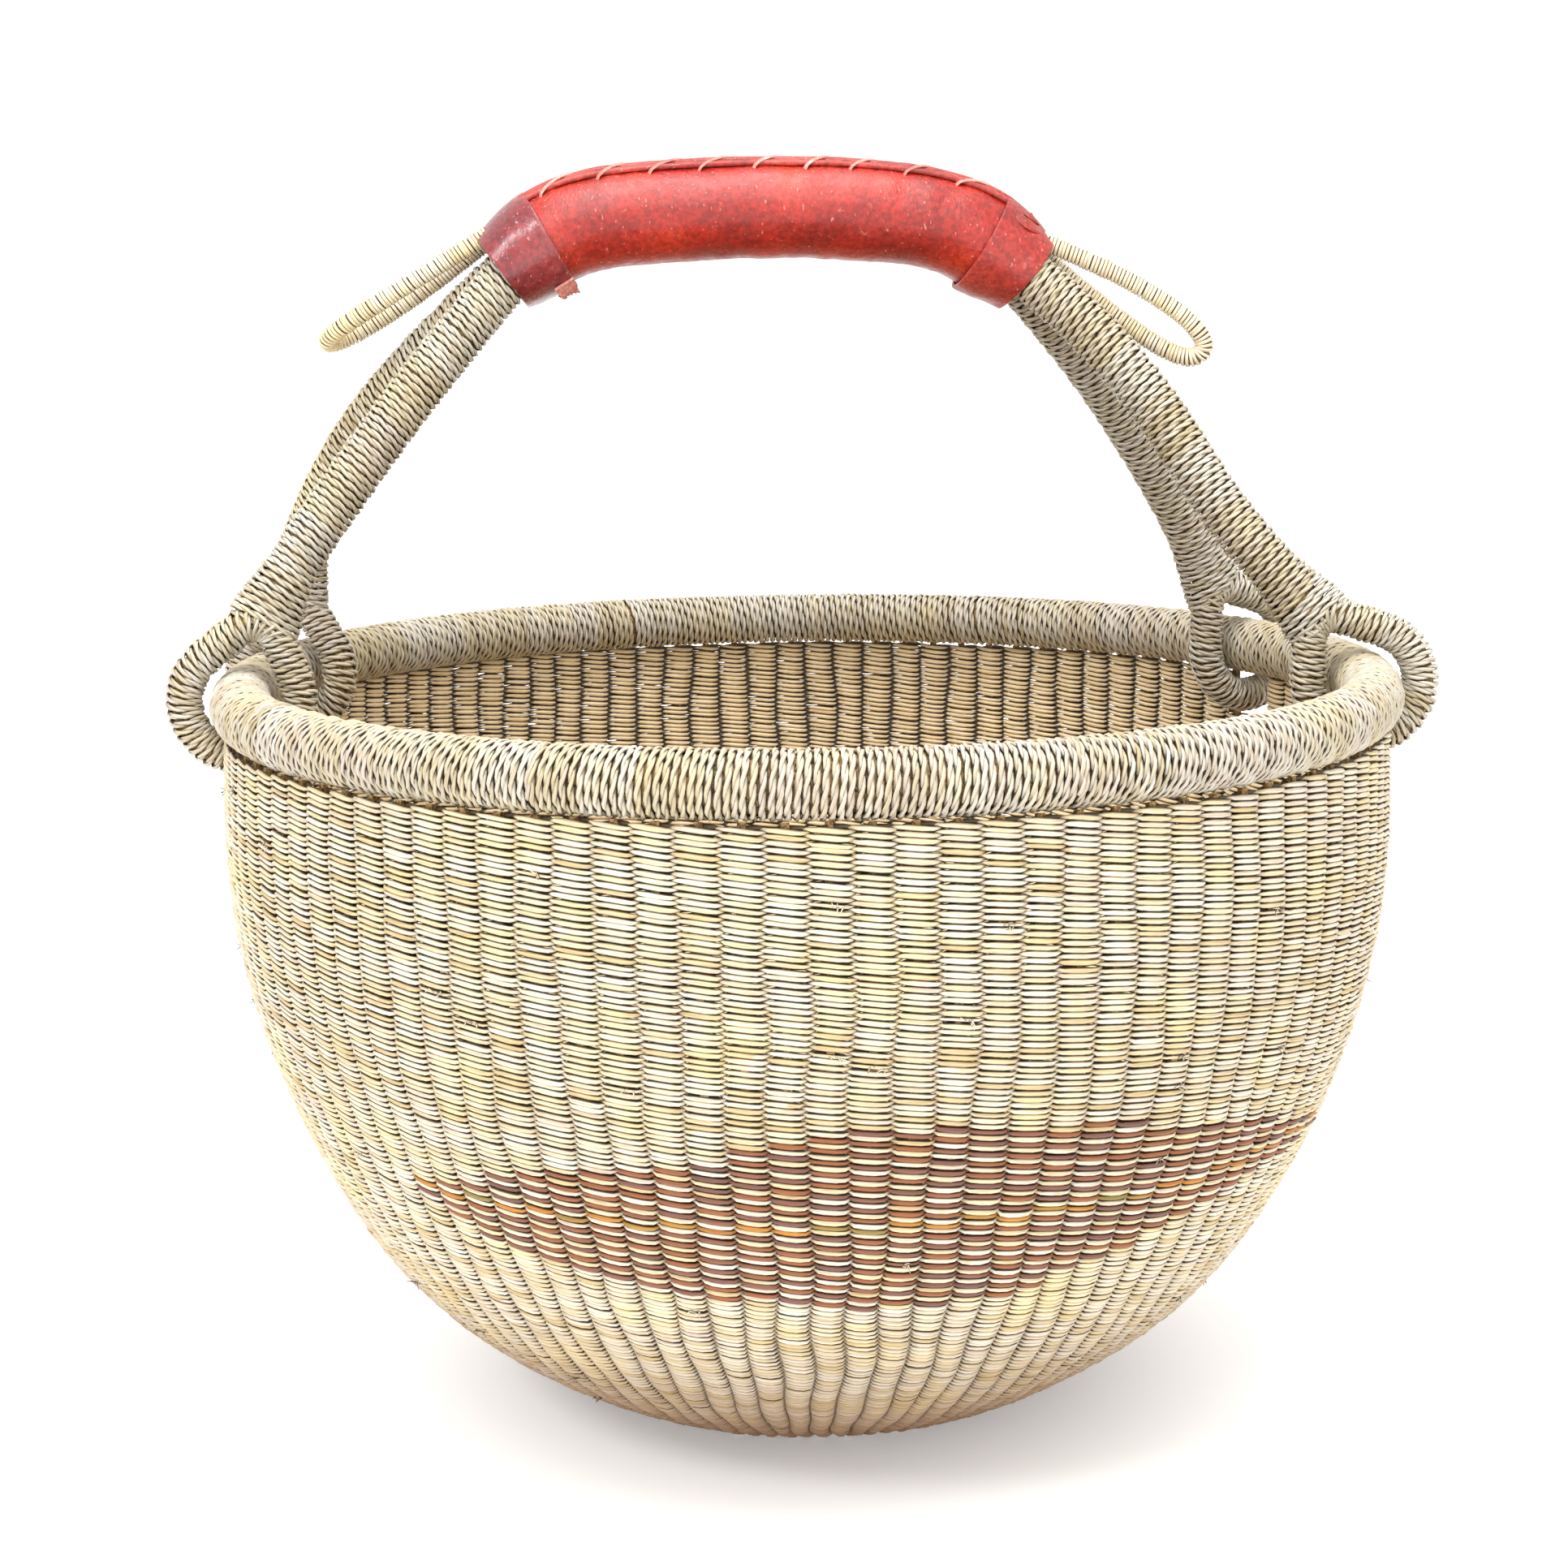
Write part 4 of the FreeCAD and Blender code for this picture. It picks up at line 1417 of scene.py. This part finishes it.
def swept_sleeve(name: str, spine: Spine, distances: np.ndarray, section: Section,
                 shape: Shape) -> bpy.types.Mesh:
    """An open sleeve along a spine whose section changes with the distance.

    Args:
        name: the mesh's name.
        spine: the sleeve's centre line.
        distances: places along it that get a ring of vertices.
        section: how many sides the sleeve has.
        shape: from distance and angle to (along the normal, along the binormal).

    Returns:
        The sleeve's skin, with no thickness.
    """
    centre, _, normal, binormal = spine.at(distances)
    curve = bpy.data.curves.new(name, "CURVE")
    curve.dimensions = "3D"
    curve.bevel_depth = MM
    curve.bevel_resolution = section.value
    spline = curve.splines.new("POLY")
    spline.points.add(len(centre) - 1)
    places = np.column_stack([centre * MM, np.ones(len(centre))])
    spline.points.foreach_set("co", places.ravel())
    mesh = mesh_of(bpy.data.objects.new(name, curve))
    sides = section.sides
    away = coordinates(mesh) / MM - np.repeat(centre, sides, 0)
    angle = np.arctan2((away * np.repeat(binormal, sides, 0)).sum(1),
                       (away * np.repeat(normal, sides, 0)).sum(1))
    up, sideways = shape(np.repeat(distances, sides), angle)
    moved = (np.repeat(centre, sides, 0) + np.repeat(normal, sides, 0) * up[:, None]
             + np.repeat(binormal, sides, 0) * sideways[:, None])
    mesh.vertices.foreach_set("co", (moved * MM).ravel())
    mesh.update()
    return mesh


def thickened(mesh: bpy.types.Mesh, thickness: float, edge: float = 0.3) -> bpy.types.Mesh:
    """Give a skin its thickness, inwards, and soften its cut edges.

    Args:
        mesh: the skin, which is used up.
        thickness: in millimetres.
        edge: radius of the softened edge, in millimetres.

    Returns:
        The thick mesh.
    """
    holder = bpy.data.objects.new(mesh.name, mesh)
    solid = holder.modifiers.new("thickness", "SOLIDIFY")
    solid.thickness = thickness * MM
    solid.offset = -1.0
    soft = holder.modifiers.new("soft_edge", "BEVEL")
    soft.width = edge * MM
    soft.segments = 2
    soft.limit_method = "ANGLE"
    soft.angle_limit = math.radians(50)
    return mesh_of(holder)


def uneven(points: np.ndarray, size: float, offset: float) -> np.ndarray:
    """Smooth random numbers from -1 to 1 at points in millimetres.

    Args:
        points: one row for each point.
        size: width of one lump, in millimetres.
        offset: moves the lumps, so that each use has its own.

    Returns:
        One number for each point.
    """
    shift = Vector((offset, 0.7 * offset, -offset))
    return np.array([noise.noise(Vector(point) / size + shift) for point in points])


@dataclass
class Grip:
    """The leather grip: padding, sleeve, end bands, raised seam and its lacing."""

    half_height: float = 17.5
    half_depth: float = 20.0
    leather: float = 1.4
    band_length: float = 21.0
    seam_lean: float = math.radians(24)
    seam_width: float = 5.2
    seam_height: float = 1.9
    stitches: int = 9
    padding_gap: float = 2.4
    padding_end: float = 9.0
    padding_rings: int = 60
    sleeve_overlap: float = 5.0
    sleeve_sink: float = 0.35
    sleeve_step: float = 1.6
    band_rings: int = 18
    band_lift: float = 1.7
    # How far the bands are drawn in at their outer ends, up and down and front to back.
    band_draw_up: float = 3.9
    band_draw_deep: float = 1.0
    band_curve: float = 1.3
    seam_overlap: float = 2.0
    seam_step: float = 1.5
    stitch_slant: float = 12.5
    stitch_overhang: float = 3.0
    skin_height: float = 1.6

    def __post_init__(self) -> None:
        """Lay out the grip's centre line, with its normal upright."""
        ends = [GRIP_ENDS[Side.LEFT]] + GRIP_LINE + [GRIP_ENDS[Side.RIGHT]]
        line = route([grip_point(x, z) for x, z in ends], 1.0)
        self.spine = Spine(line, UPWARD)

    def oval(self, angle: np.ndarray, height: Any, depth: Any) -> tuple[np.ndarray, np.ndarray]:
        """A point of an oval; angle 0 is up and a quarter turn is to the back or front."""
        return height * np.cos(angle), depth * np.sin(angle)

    def creases(self, distance: np.ndarray, angle: np.ndarray) -> np.ndarray:
        """How far the leather sinks or swells, in millimetres.

        Args:
            distance: places along the grip.
            angle: places round it, in radians.

        Returns:
            The swell at each place; it is negative in a hollow.
        """
        up, sideways = self.oval(angle, self.half_height, self.half_depth)
        places = np.column_stack([distance, up, sideways])
        broad = uneven(places, 21.0, 3.1)
        stretched = places * np.array([1.0, 0.35, 0.35])
        pulled = uneven(stretched, 5.0, 8.3)
        fine = uneven(places, 3.2, 5.7)
        return 0.55 * broad + 0.28 * pulled + 0.10 * fine

    def build_padding(self, finishes: Finishes) -> None:
        """Make the stuffed grass that fills the sleeve round the two bows.

        Args:
            finishes: all the basket's materials.
        """
        distances = np.linspace(self.padding_end, self.spine.length - self.padding_end,
                                self.padding_rings)

        def shape(distance: np.ndarray, angle: np.ndarray) -> tuple[np.ndarray, np.ndarray]:
            """A full, slightly lumpy oval.

            Args:
                distance: places along the spine, in millimetres.
                angle: places round it, in radians from its normal.

            Returns:
                How far each point lies along the normal and along the binormal, in millimetres.
            """
            swell = 0.4 * uneven(np.column_stack([distance, 9 * np.cos(angle),
                                                  9 * np.sin(angle)]), 6.0, 1.0)
            inset = swell - self.padding_gap
            return self.oval(angle, self.half_height + inset, self.half_depth + inset)

        mesh = swept_sleeve("grip_stuffing", self.spine, distances, Section.MANY_SIDES, shape)
        close_ends(mesh)
        piece = finish_piece("grip_stuffing", mesh, finishes.bundle, "handle",
                             ("grip_padding",))

    def build_sleeve(self, finishes: Finishes) -> None:
        """Make the long leather sleeve.

        Args:
            finishes: all the basket's materials.
        """
        hidden = self.band_length - self.sleeve_overlap
        distances = np.arange(hidden, self.spine.length - hidden, self.sleeve_step)

        def shape(distance: np.ndarray, angle: np.ndarray) -> tuple[np.ndarray, np.ndarray]:
            """The oval with its creases.

            Args:
                distance: places along the spine, in millimetres.
                angle: places round it, in radians from its normal.

            Returns:
                How far each point lies along the normal and along the binormal, in millimetres.
            """
            sink = self.creases(distance, angle) - self.sleeve_sink
            return self.oval(angle, self.half_height + sink, self.half_depth + sink)

        mesh = swept_sleeve("grip_leather_sleeve", self.spine, distances, Section.MANY_SIDES,
                            shape)
        mesh = thickened(mesh, self.leather)
        finish_piece("grip_leather_sleeve", mesh, finishes.red_leather, "handle",
                     ("grip_leather",))

    def build_band(self, side: Side, finishes: Finishes) -> None:
        """Make one end band, drawn in towards the legs at its outer end.

        Args:
            side: which end of the grip.
            finishes: all the basket's materials.
        """
        length = self.spine.length
        reach = np.linspace(0.0, self.band_length, self.band_rings)
        distances = reach if side is Side.LEFT else length - reach[::-1]
        seed = 2.0 if side is Side.LEFT else 9.0

        def shape(distance: np.ndarray, angle: np.ndarray) -> tuple[np.ndarray, np.ndarray]:
            """The oval, tapered to its outer end and wavy at its inner one.

            Args:
                distance: places along the spine, in millimetres.
                angle: places round it, in radians from its normal.

            Returns:
                How far each point lies along the normal and along the binormal, in millimetres.
            """
            inward = distance if side is Side.LEFT else length - distance
            taper = 1 - np.clip(inward / (self.band_length - 2), 0, 1)
            places = np.column_stack([distance, 18 * np.cos(angle), 20 * np.sin(angle)])
            sink = 0.45 * uneven(places, 9.0, seed) + 0.16 * uneven(places, 3.0, seed + 2)
            drawn = taper ** self.band_curve
            high = self.half_height + self.band_lift - self.band_draw_up * drawn + sink
            deep = self.half_depth + self.band_lift - self.band_draw_deep * drawn + sink
            return self.oval(angle, high, deep)

        name = "grip_end_band_" + side.value
        mesh = swept_sleeve(name, self.spine, distances, Section.MANY_SIDES, shape)
        mesh = thickened(mesh, self.leather)
        material = finishes.wine_leather if side is Side.LEFT else finishes.end_leather
        finish_piece(name, mesh, material, "handle",
                     ("grip_band_" + side.value,))

    def seam_frame(self, distance: np.ndarray) -> tuple[np.ndarray, np.ndarray, np.ndarray]:
        """Place of the seam on the leather, and its directions across and off the skin.

        Args:
            distance: places along the grip, in millimetres.

        Returns:
            The points, the directions across the seam and the directions off the leather.
        """
        centre, _, normal, _ = self.spine.at(distance)
        forward = -HANDLE_BACK
        lean = self.seam_lean
        place = (centre + normal * self.half_height * math.cos(lean)
                 + forward * self.half_depth * math.sin(lean))
        across = forward * math.cos(lean) - normal * math.sin(lean)
        off = forward * math.sin(lean) + normal * math.cos(lean)
        return place, across, off

    def strap(self, name: str, points: np.ndarray, across: np.ndarray, off: np.ndarray,
              width: np.ndarray, height: np.ndarray) -> bpy.types.Mesh:
        """A flat strap with rounded edges along a line.

        Args:
            name: the mesh's name.
            points: the strap's middle line, in millimetres.
            across: its direction across, point by point.
            off: its direction off the surface, point by point.
            width: half its width, point by point.
            height: half its thickness, point by point.

        Returns:
            The strap, closed at both ends.
        """
        spine = Spine(points, off[0])
        spine.normals, spine.binormals = off, across

        def shape(distance: np.ndarray, angle: np.ndarray) -> tuple[np.ndarray, np.ndarray]:
            """A flattened oval with full corners.

            Args:
                distance: places along the spine, in millimetres.
                angle: places round it, in radians from its normal.

            Returns:
                How far each point lies along the normal and along the binormal, in millimetres.
            """
            wide = np.interp(distance, spine.reached, width)
            high = np.interp(distance, spine.reached, height)
            cosine, sine = np.cos(angle), np.sin(angle)
            return (high * np.sign(cosine) * np.abs(cosine) ** 0.6,
                    wide * np.sign(sine) * np.abs(sine) ** 0.6)

        mesh = swept_sleeve(name, spine, spine.reached, Section.EIGHT_SIDES, shape)
        close_ends(mesh)
        return mesh

    def build_seam(self, finishes: Finishes) -> None:
        """Make the two leather edges that stand up side by side along the grip.

        Args:
            finishes: all the basket's materials.
        """
        start = self.band_length - self.seam_overlap
        distances = np.arange(start, self.spine.length - start, self.seam_step)
        place, across, off = self.seam_frame(distances)
        shells = []
        for side in (-1, 1):
            along = np.column_stack([distances, np.full(len(distances), 9.0 * side),
                                     np.zeros(len(distances))])
            wave = 0.28 * uneven(along, 7.0, 4.0 + side)
            line = (place + across * (side * (self.seam_width / 4 + 0.15) + wave)[:, None]
                    + off * (0.75 + 0.3 * wave)[:, None])
            wide = np.full(len(distances), self.seam_width / 4)
            high = self.seam_height / 2 * (1 + 0.25 * uneven(along, 5.0, 6.0))
            shells.append(self.strap("grip_seam_edge", line, across, off, wide, high))
        mesh = joined("grip_seam_lips", shells)
        finish_piece("grip_seam_lips", mesh, finishes.dark_leather, "handle",
                     ("grip_seam_edges",))

    def build_lacing(self, finishes: Finishes) -> None:
        """Lace a pale thong over the seam in slanting stitches.

        Args:
            finishes: all the basket's materials.
        """
        start = self.band_length + 1.0
        pitch = (self.spine.length - 2 * start) / self.stitches
        shells = []
        rng = np.random.default_rng(7)
        for index in range(self.stitches):
            step = np.linspace(0, 1, 13)
            middle = start + (index + 0.5) * pitch + rng.normal(0, 0.8)
            slant = self.stitch_slant + rng.normal(0, 1.2)
            distances = middle + (step - 0.5) * slant
            place, across, off = self.seam_frame(distances)
            over = (0.5 - step) * (self.seam_width + self.stitch_overhang)
            dome = np.sin(np.pi * np.clip(step, 0, 1)) ** 0.45
            line = place + across * over[:, None] + off * ((self.seam_height + 0.1) * dome
                                                           - 0.9 * (1 - dome))[:, None]
            travel = unit(np.gradient(line, axis=0))
            sideways = unit(np.cross(off, travel))
            width = np.full(len(step), 0.75 + 0.15 * rng.random())
            shells.append(self.strap("thong", line, sideways, off, width, 0.4 * width))
        mesh = joined("grip_thong_lacing", shells)
        finish_piece("grip_thong_lacing", mesh, finishes.thong, "handle",
                     ("grip_lacing",))

    def on_skin(self, distance: np.ndarray, angle: np.ndarray, off: np.ndarray) -> np.ndarray:
        """Points a height off the bands, at angles from the top towards the front.

        Args:
            distance: places along the grip, in millimetres.
            angle: angles from the top towards the front, in radians.
            off: heights off the bands, in millimetres.

        Returns:
            One point for each place, in millimetres.
        """
        centre, _, normal, _ = self.spine.at(distance)
        up = (self.half_height + self.skin_height + off) * np.cos(angle)
        forward = (self.half_depth + self.skin_height + off) * np.sin(angle)
        return centre + normal * up[:, None] - HANDLE_BACK * forward[:, None]

    def build_torn_edge(self, finishes: Finishes) -> None:
        """Leave the ragged end of the left band's strip hanging under its inner edge.

        Args:
            finishes: all the basket's materials.
        """
        middle, half_run, thickness = 17.0, 4.6, 0.9
        root_angle, hang_angle = math.radians(143), math.radians(20)
        sheet = bmesh.new()
        bmesh.ops.create_grid(sheet, x_segments=16, y_segments=7, size=1.0)
        grid = np.array([vertex.co for vertex in sheet.verts])
        ragged = uneven(np.column_stack([grid[:, 0] * 9, grid[:, 1] * 2, grid[:, 0]]), 2.2, 1.7)
        hang = (grid[:, 1] + 1) / 2
        distance = middle + half_run * grid[:, 0] + 0.8 * ragged
        angle = root_angle + hang_angle * hang * (1 + 0.6 * ragged)
        off = 0.2 + 1.3 * hang ** 2 + 0.9 * ragged * hang
        points = self.on_skin(distance, angle, off)
        for vertex, point in zip(sheet.verts, points):
            vertex.co = Vector(point * MM)
        bmesh.ops.recalc_face_normals(sheet, faces=sheet.faces)
        mesh = bpy.data.meshes.new("grip_torn_edge")
        sheet.to_mesh(mesh)
        sheet.free()
        mesh = thickened(mesh, thickness, 0.1)
        finish_piece("grip_torn_edge", mesh, finishes.thong, "handle")

    def build_tucked_end(self, finishes: Finishes) -> None:
        """Tuck the end of the right band's strip under itself near the top.

        Args:
            finishes: all the basket's materials.
        """
        step = np.linspace(0, 1, 17)
        rise = np.sin(np.pi * step)
        shells = []
        for start, end, lean in ((17.5, 5.5, 44.0), (14.5, 8.0, 27.0)):
            distance = self.spine.length - (start + (end - start) * step)
            angle = np.radians(lean - 14 * step + 10 * rise)
            line = self.on_skin(distance, angle, -1.4 + 2.0 * rise ** 0.6 - 2.0 * step)
            centre, _, _, _ = self.spine.at(distance)
            off = unit(line - centre)
            across = unit(np.cross(off, np.gradient(line, axis=0)))
            wide = 1.6 + 0.8 * rise
            high = np.full(len(step), 0.55)
            shells.append(self.strap("tuck", line, across, off, wide, high))
        mesh = joined("grip_tucked_end", shells)
        finish_piece("grip_tucked_end", mesh, finishes.dark_leather, "handle")

    def build(self, finishes: Finishes) -> None:
        """Build the whole grip.

        Args:
            finishes: all the basket's materials.
        """
        self.build_padding(finishes)
        self.build_sleeve(finishes)
        for side in Side:
            self.build_band(side, finishes)
        self.build_seam(finishes)
        self.build_lacing(finishes)
        self.build_torn_edge(finishes)
        self.build_tucked_end(finishes)
        for node in ("bow_core_front", "bow_core_back"):
            dress_node(node, finishes.bundle)


def joined(name: str, meshes: Sequence[bpy.types.Mesh]) -> bpy.types.Mesh:
    """Several meshes as one, after which the first ones are removed.

    Args:
        name: the new mesh's name.
        meshes: what is put together.

    Returns:
        The new mesh, with its faces outwards.
    """
    whole = bmesh.new()
    for mesh in meshes:
        whole.from_mesh(mesh)
        bpy.data.meshes.remove(mesh)
    bmesh.ops.recalc_face_normals(whole, faces=whole.faces)
    result = bpy.data.meshes.new(name)
    whole.to_mesh(result)
    whole.free()
    return result


# ------------------------------------------------------------------ studio
@dataclass(frozen=True)
class Studio:
    """White floor and surround, soft lights and the camera, in metres and degrees.

    The camera's lens and sensor width are in millimetres, and the lights' powers in watts.
    """

    camera_place: tuple[float, float, float] = (0.0, -0.9401, 0.3950)
    look_down: float = 10.469
    turn_left: float = 0.501
    roll: float = -0.600
    lens: float = 60.34
    sensor_width: float = 36.0
    floor_size: float = 40.0
    floor_glow: float = 0.25
    mottle_size: float = 1 / 3
    surround: float = 1.15
    aim: tuple[float, float, float] = (0.0, 0.0, 0.2)

    def place_camera(self) -> None:
        """Make the camera and set it as the scene's."""
        data = bpy.data.cameras.new("camera")
        data.lens = self.lens
        data.sensor_width = self.sensor_width
        camera = bpy.data.objects.new("camera", data)
        camera.matrix_world = (Matrix.Translation(self.camera_place)
                               @ Matrix.Rotation(math.radians(self.turn_left), 4, "Z")
                               @ Matrix.Rotation(math.radians(90 - self.look_down), 4, "X")
                               @ Matrix.Rotation(math.radians(self.roll), 4, "Z"))
        bpy.context.scene.collection.objects.link(camera)
        bpy.context.scene.camera = camera

    def floor_material(self) -> bpy.types.Material:
        """Matt white studio paper, lit from behind so that shadows stay light.

        Returns:
            The material.
        """
        material, tree = blank_material("white_studio_paper")
        places = add_node(tree, "ShaderNodeTexCoord", output="Object")
        mottle = add_node(tree, inputs={"Vector": places, "Scale": 1 / self.mottle_size}, **CLOUDS)
        colour = add_node(tree, "ShaderNodeValToRGB", {0: mottle},
                          stops=[(0.3, "#f8f8f8"), (0.7, "#fbfbfb")])
        shader = add_node(tree, "ShaderNodeBsdfPrincipled",
                          {"Base Color": colour, "Emission Color": colour, "Roughness": 0.9,
                           "Emission Strength": self.floor_glow})
        add_node(tree, "ShaderNodeOutputMaterial", {0: shader})
        return material

    def lay_floor(self) -> None:
        """Lay the floor that the basket stands on."""
        sheet = bmesh.new()
        bmesh.ops.create_grid(sheet, x_segments=1, y_segments=1, size=self.floor_size / 2)
        mesh = bpy.data.meshes.new("floor")
        sheet.to_mesh(mesh)
        sheet.free()
        mesh.materials.append(self.floor_material())
        floor = bpy.data.objects.new("floor", mesh)
        bpy.context.scene.collection.objects.link(floor)

    def light(self, name: str, place: tuple[float, float, float], size: float,
              power: float) -> None:
        """Hang one soft square light that faces the basket.

        Args:
            name: the light's name.
            place: where it hangs, in metres.
            size: length of its side, in metres.
            power: its power, in watts.
        """
        data = bpy.data.lights.new(name, "AREA")
        data.size = size
        data.energy = power
        lamp = bpy.data.objects.new(name, data)
        aim = Vector(self.aim) - Vector(place)
        lamp.matrix_world = (Matrix.Translation(place)
                             @ aim.to_track_quat("-Z", "Y").to_matrix().to_4x4())
        bpy.context.scene.collection.objects.link(lamp)

    def light_up(self) -> None:
        """Light the basket from all round, most of all from above and in front."""
        scene = bpy.context.scene
        scene.view_settings.view_transform = "Standard"
        world = bpy.data.worlds.new("white_surround")
        world.use_nodes = True
        background = world.node_tree.nodes["Background"]
        background.inputs["Color"].default_value = linear("#ffffff")
        background.inputs["Strength"].default_value = self.surround
        scene.world = world
        self.light("top_light", (0.0, -0.3, 2.2), 1.2, 28.0)
        self.light("left_light", (-1.3, -1.5, 1.7), 0.5, 16.0)
        self.light("front_light", (0.6, -2.2, 0.9), 1.4, 7.0)
        self.light("bowl_light", (0.0, -0.35, 0.75), 0.4, 1.8)


def main() -> None:
    """Build the basket in order, from the camera to the handle."""
    logging.basicConfig(level=logging.INFO, format="%(message)s")
    studio = Studio()
    studio.place_camera()
    finishes = make_finishes()
    Bowl().build(finishes)
    Rim().build(finishes)
    for name in RINGS:
        Ring(name).build(finishes)
        Leg(name).build(finishes)
    for side in Side:
        EndLoop(side).build(finishes)
    Grip().build(finishes)
    studio.lay_floor()
    studio.light_up()


if __name__ == "__main__":
    main()
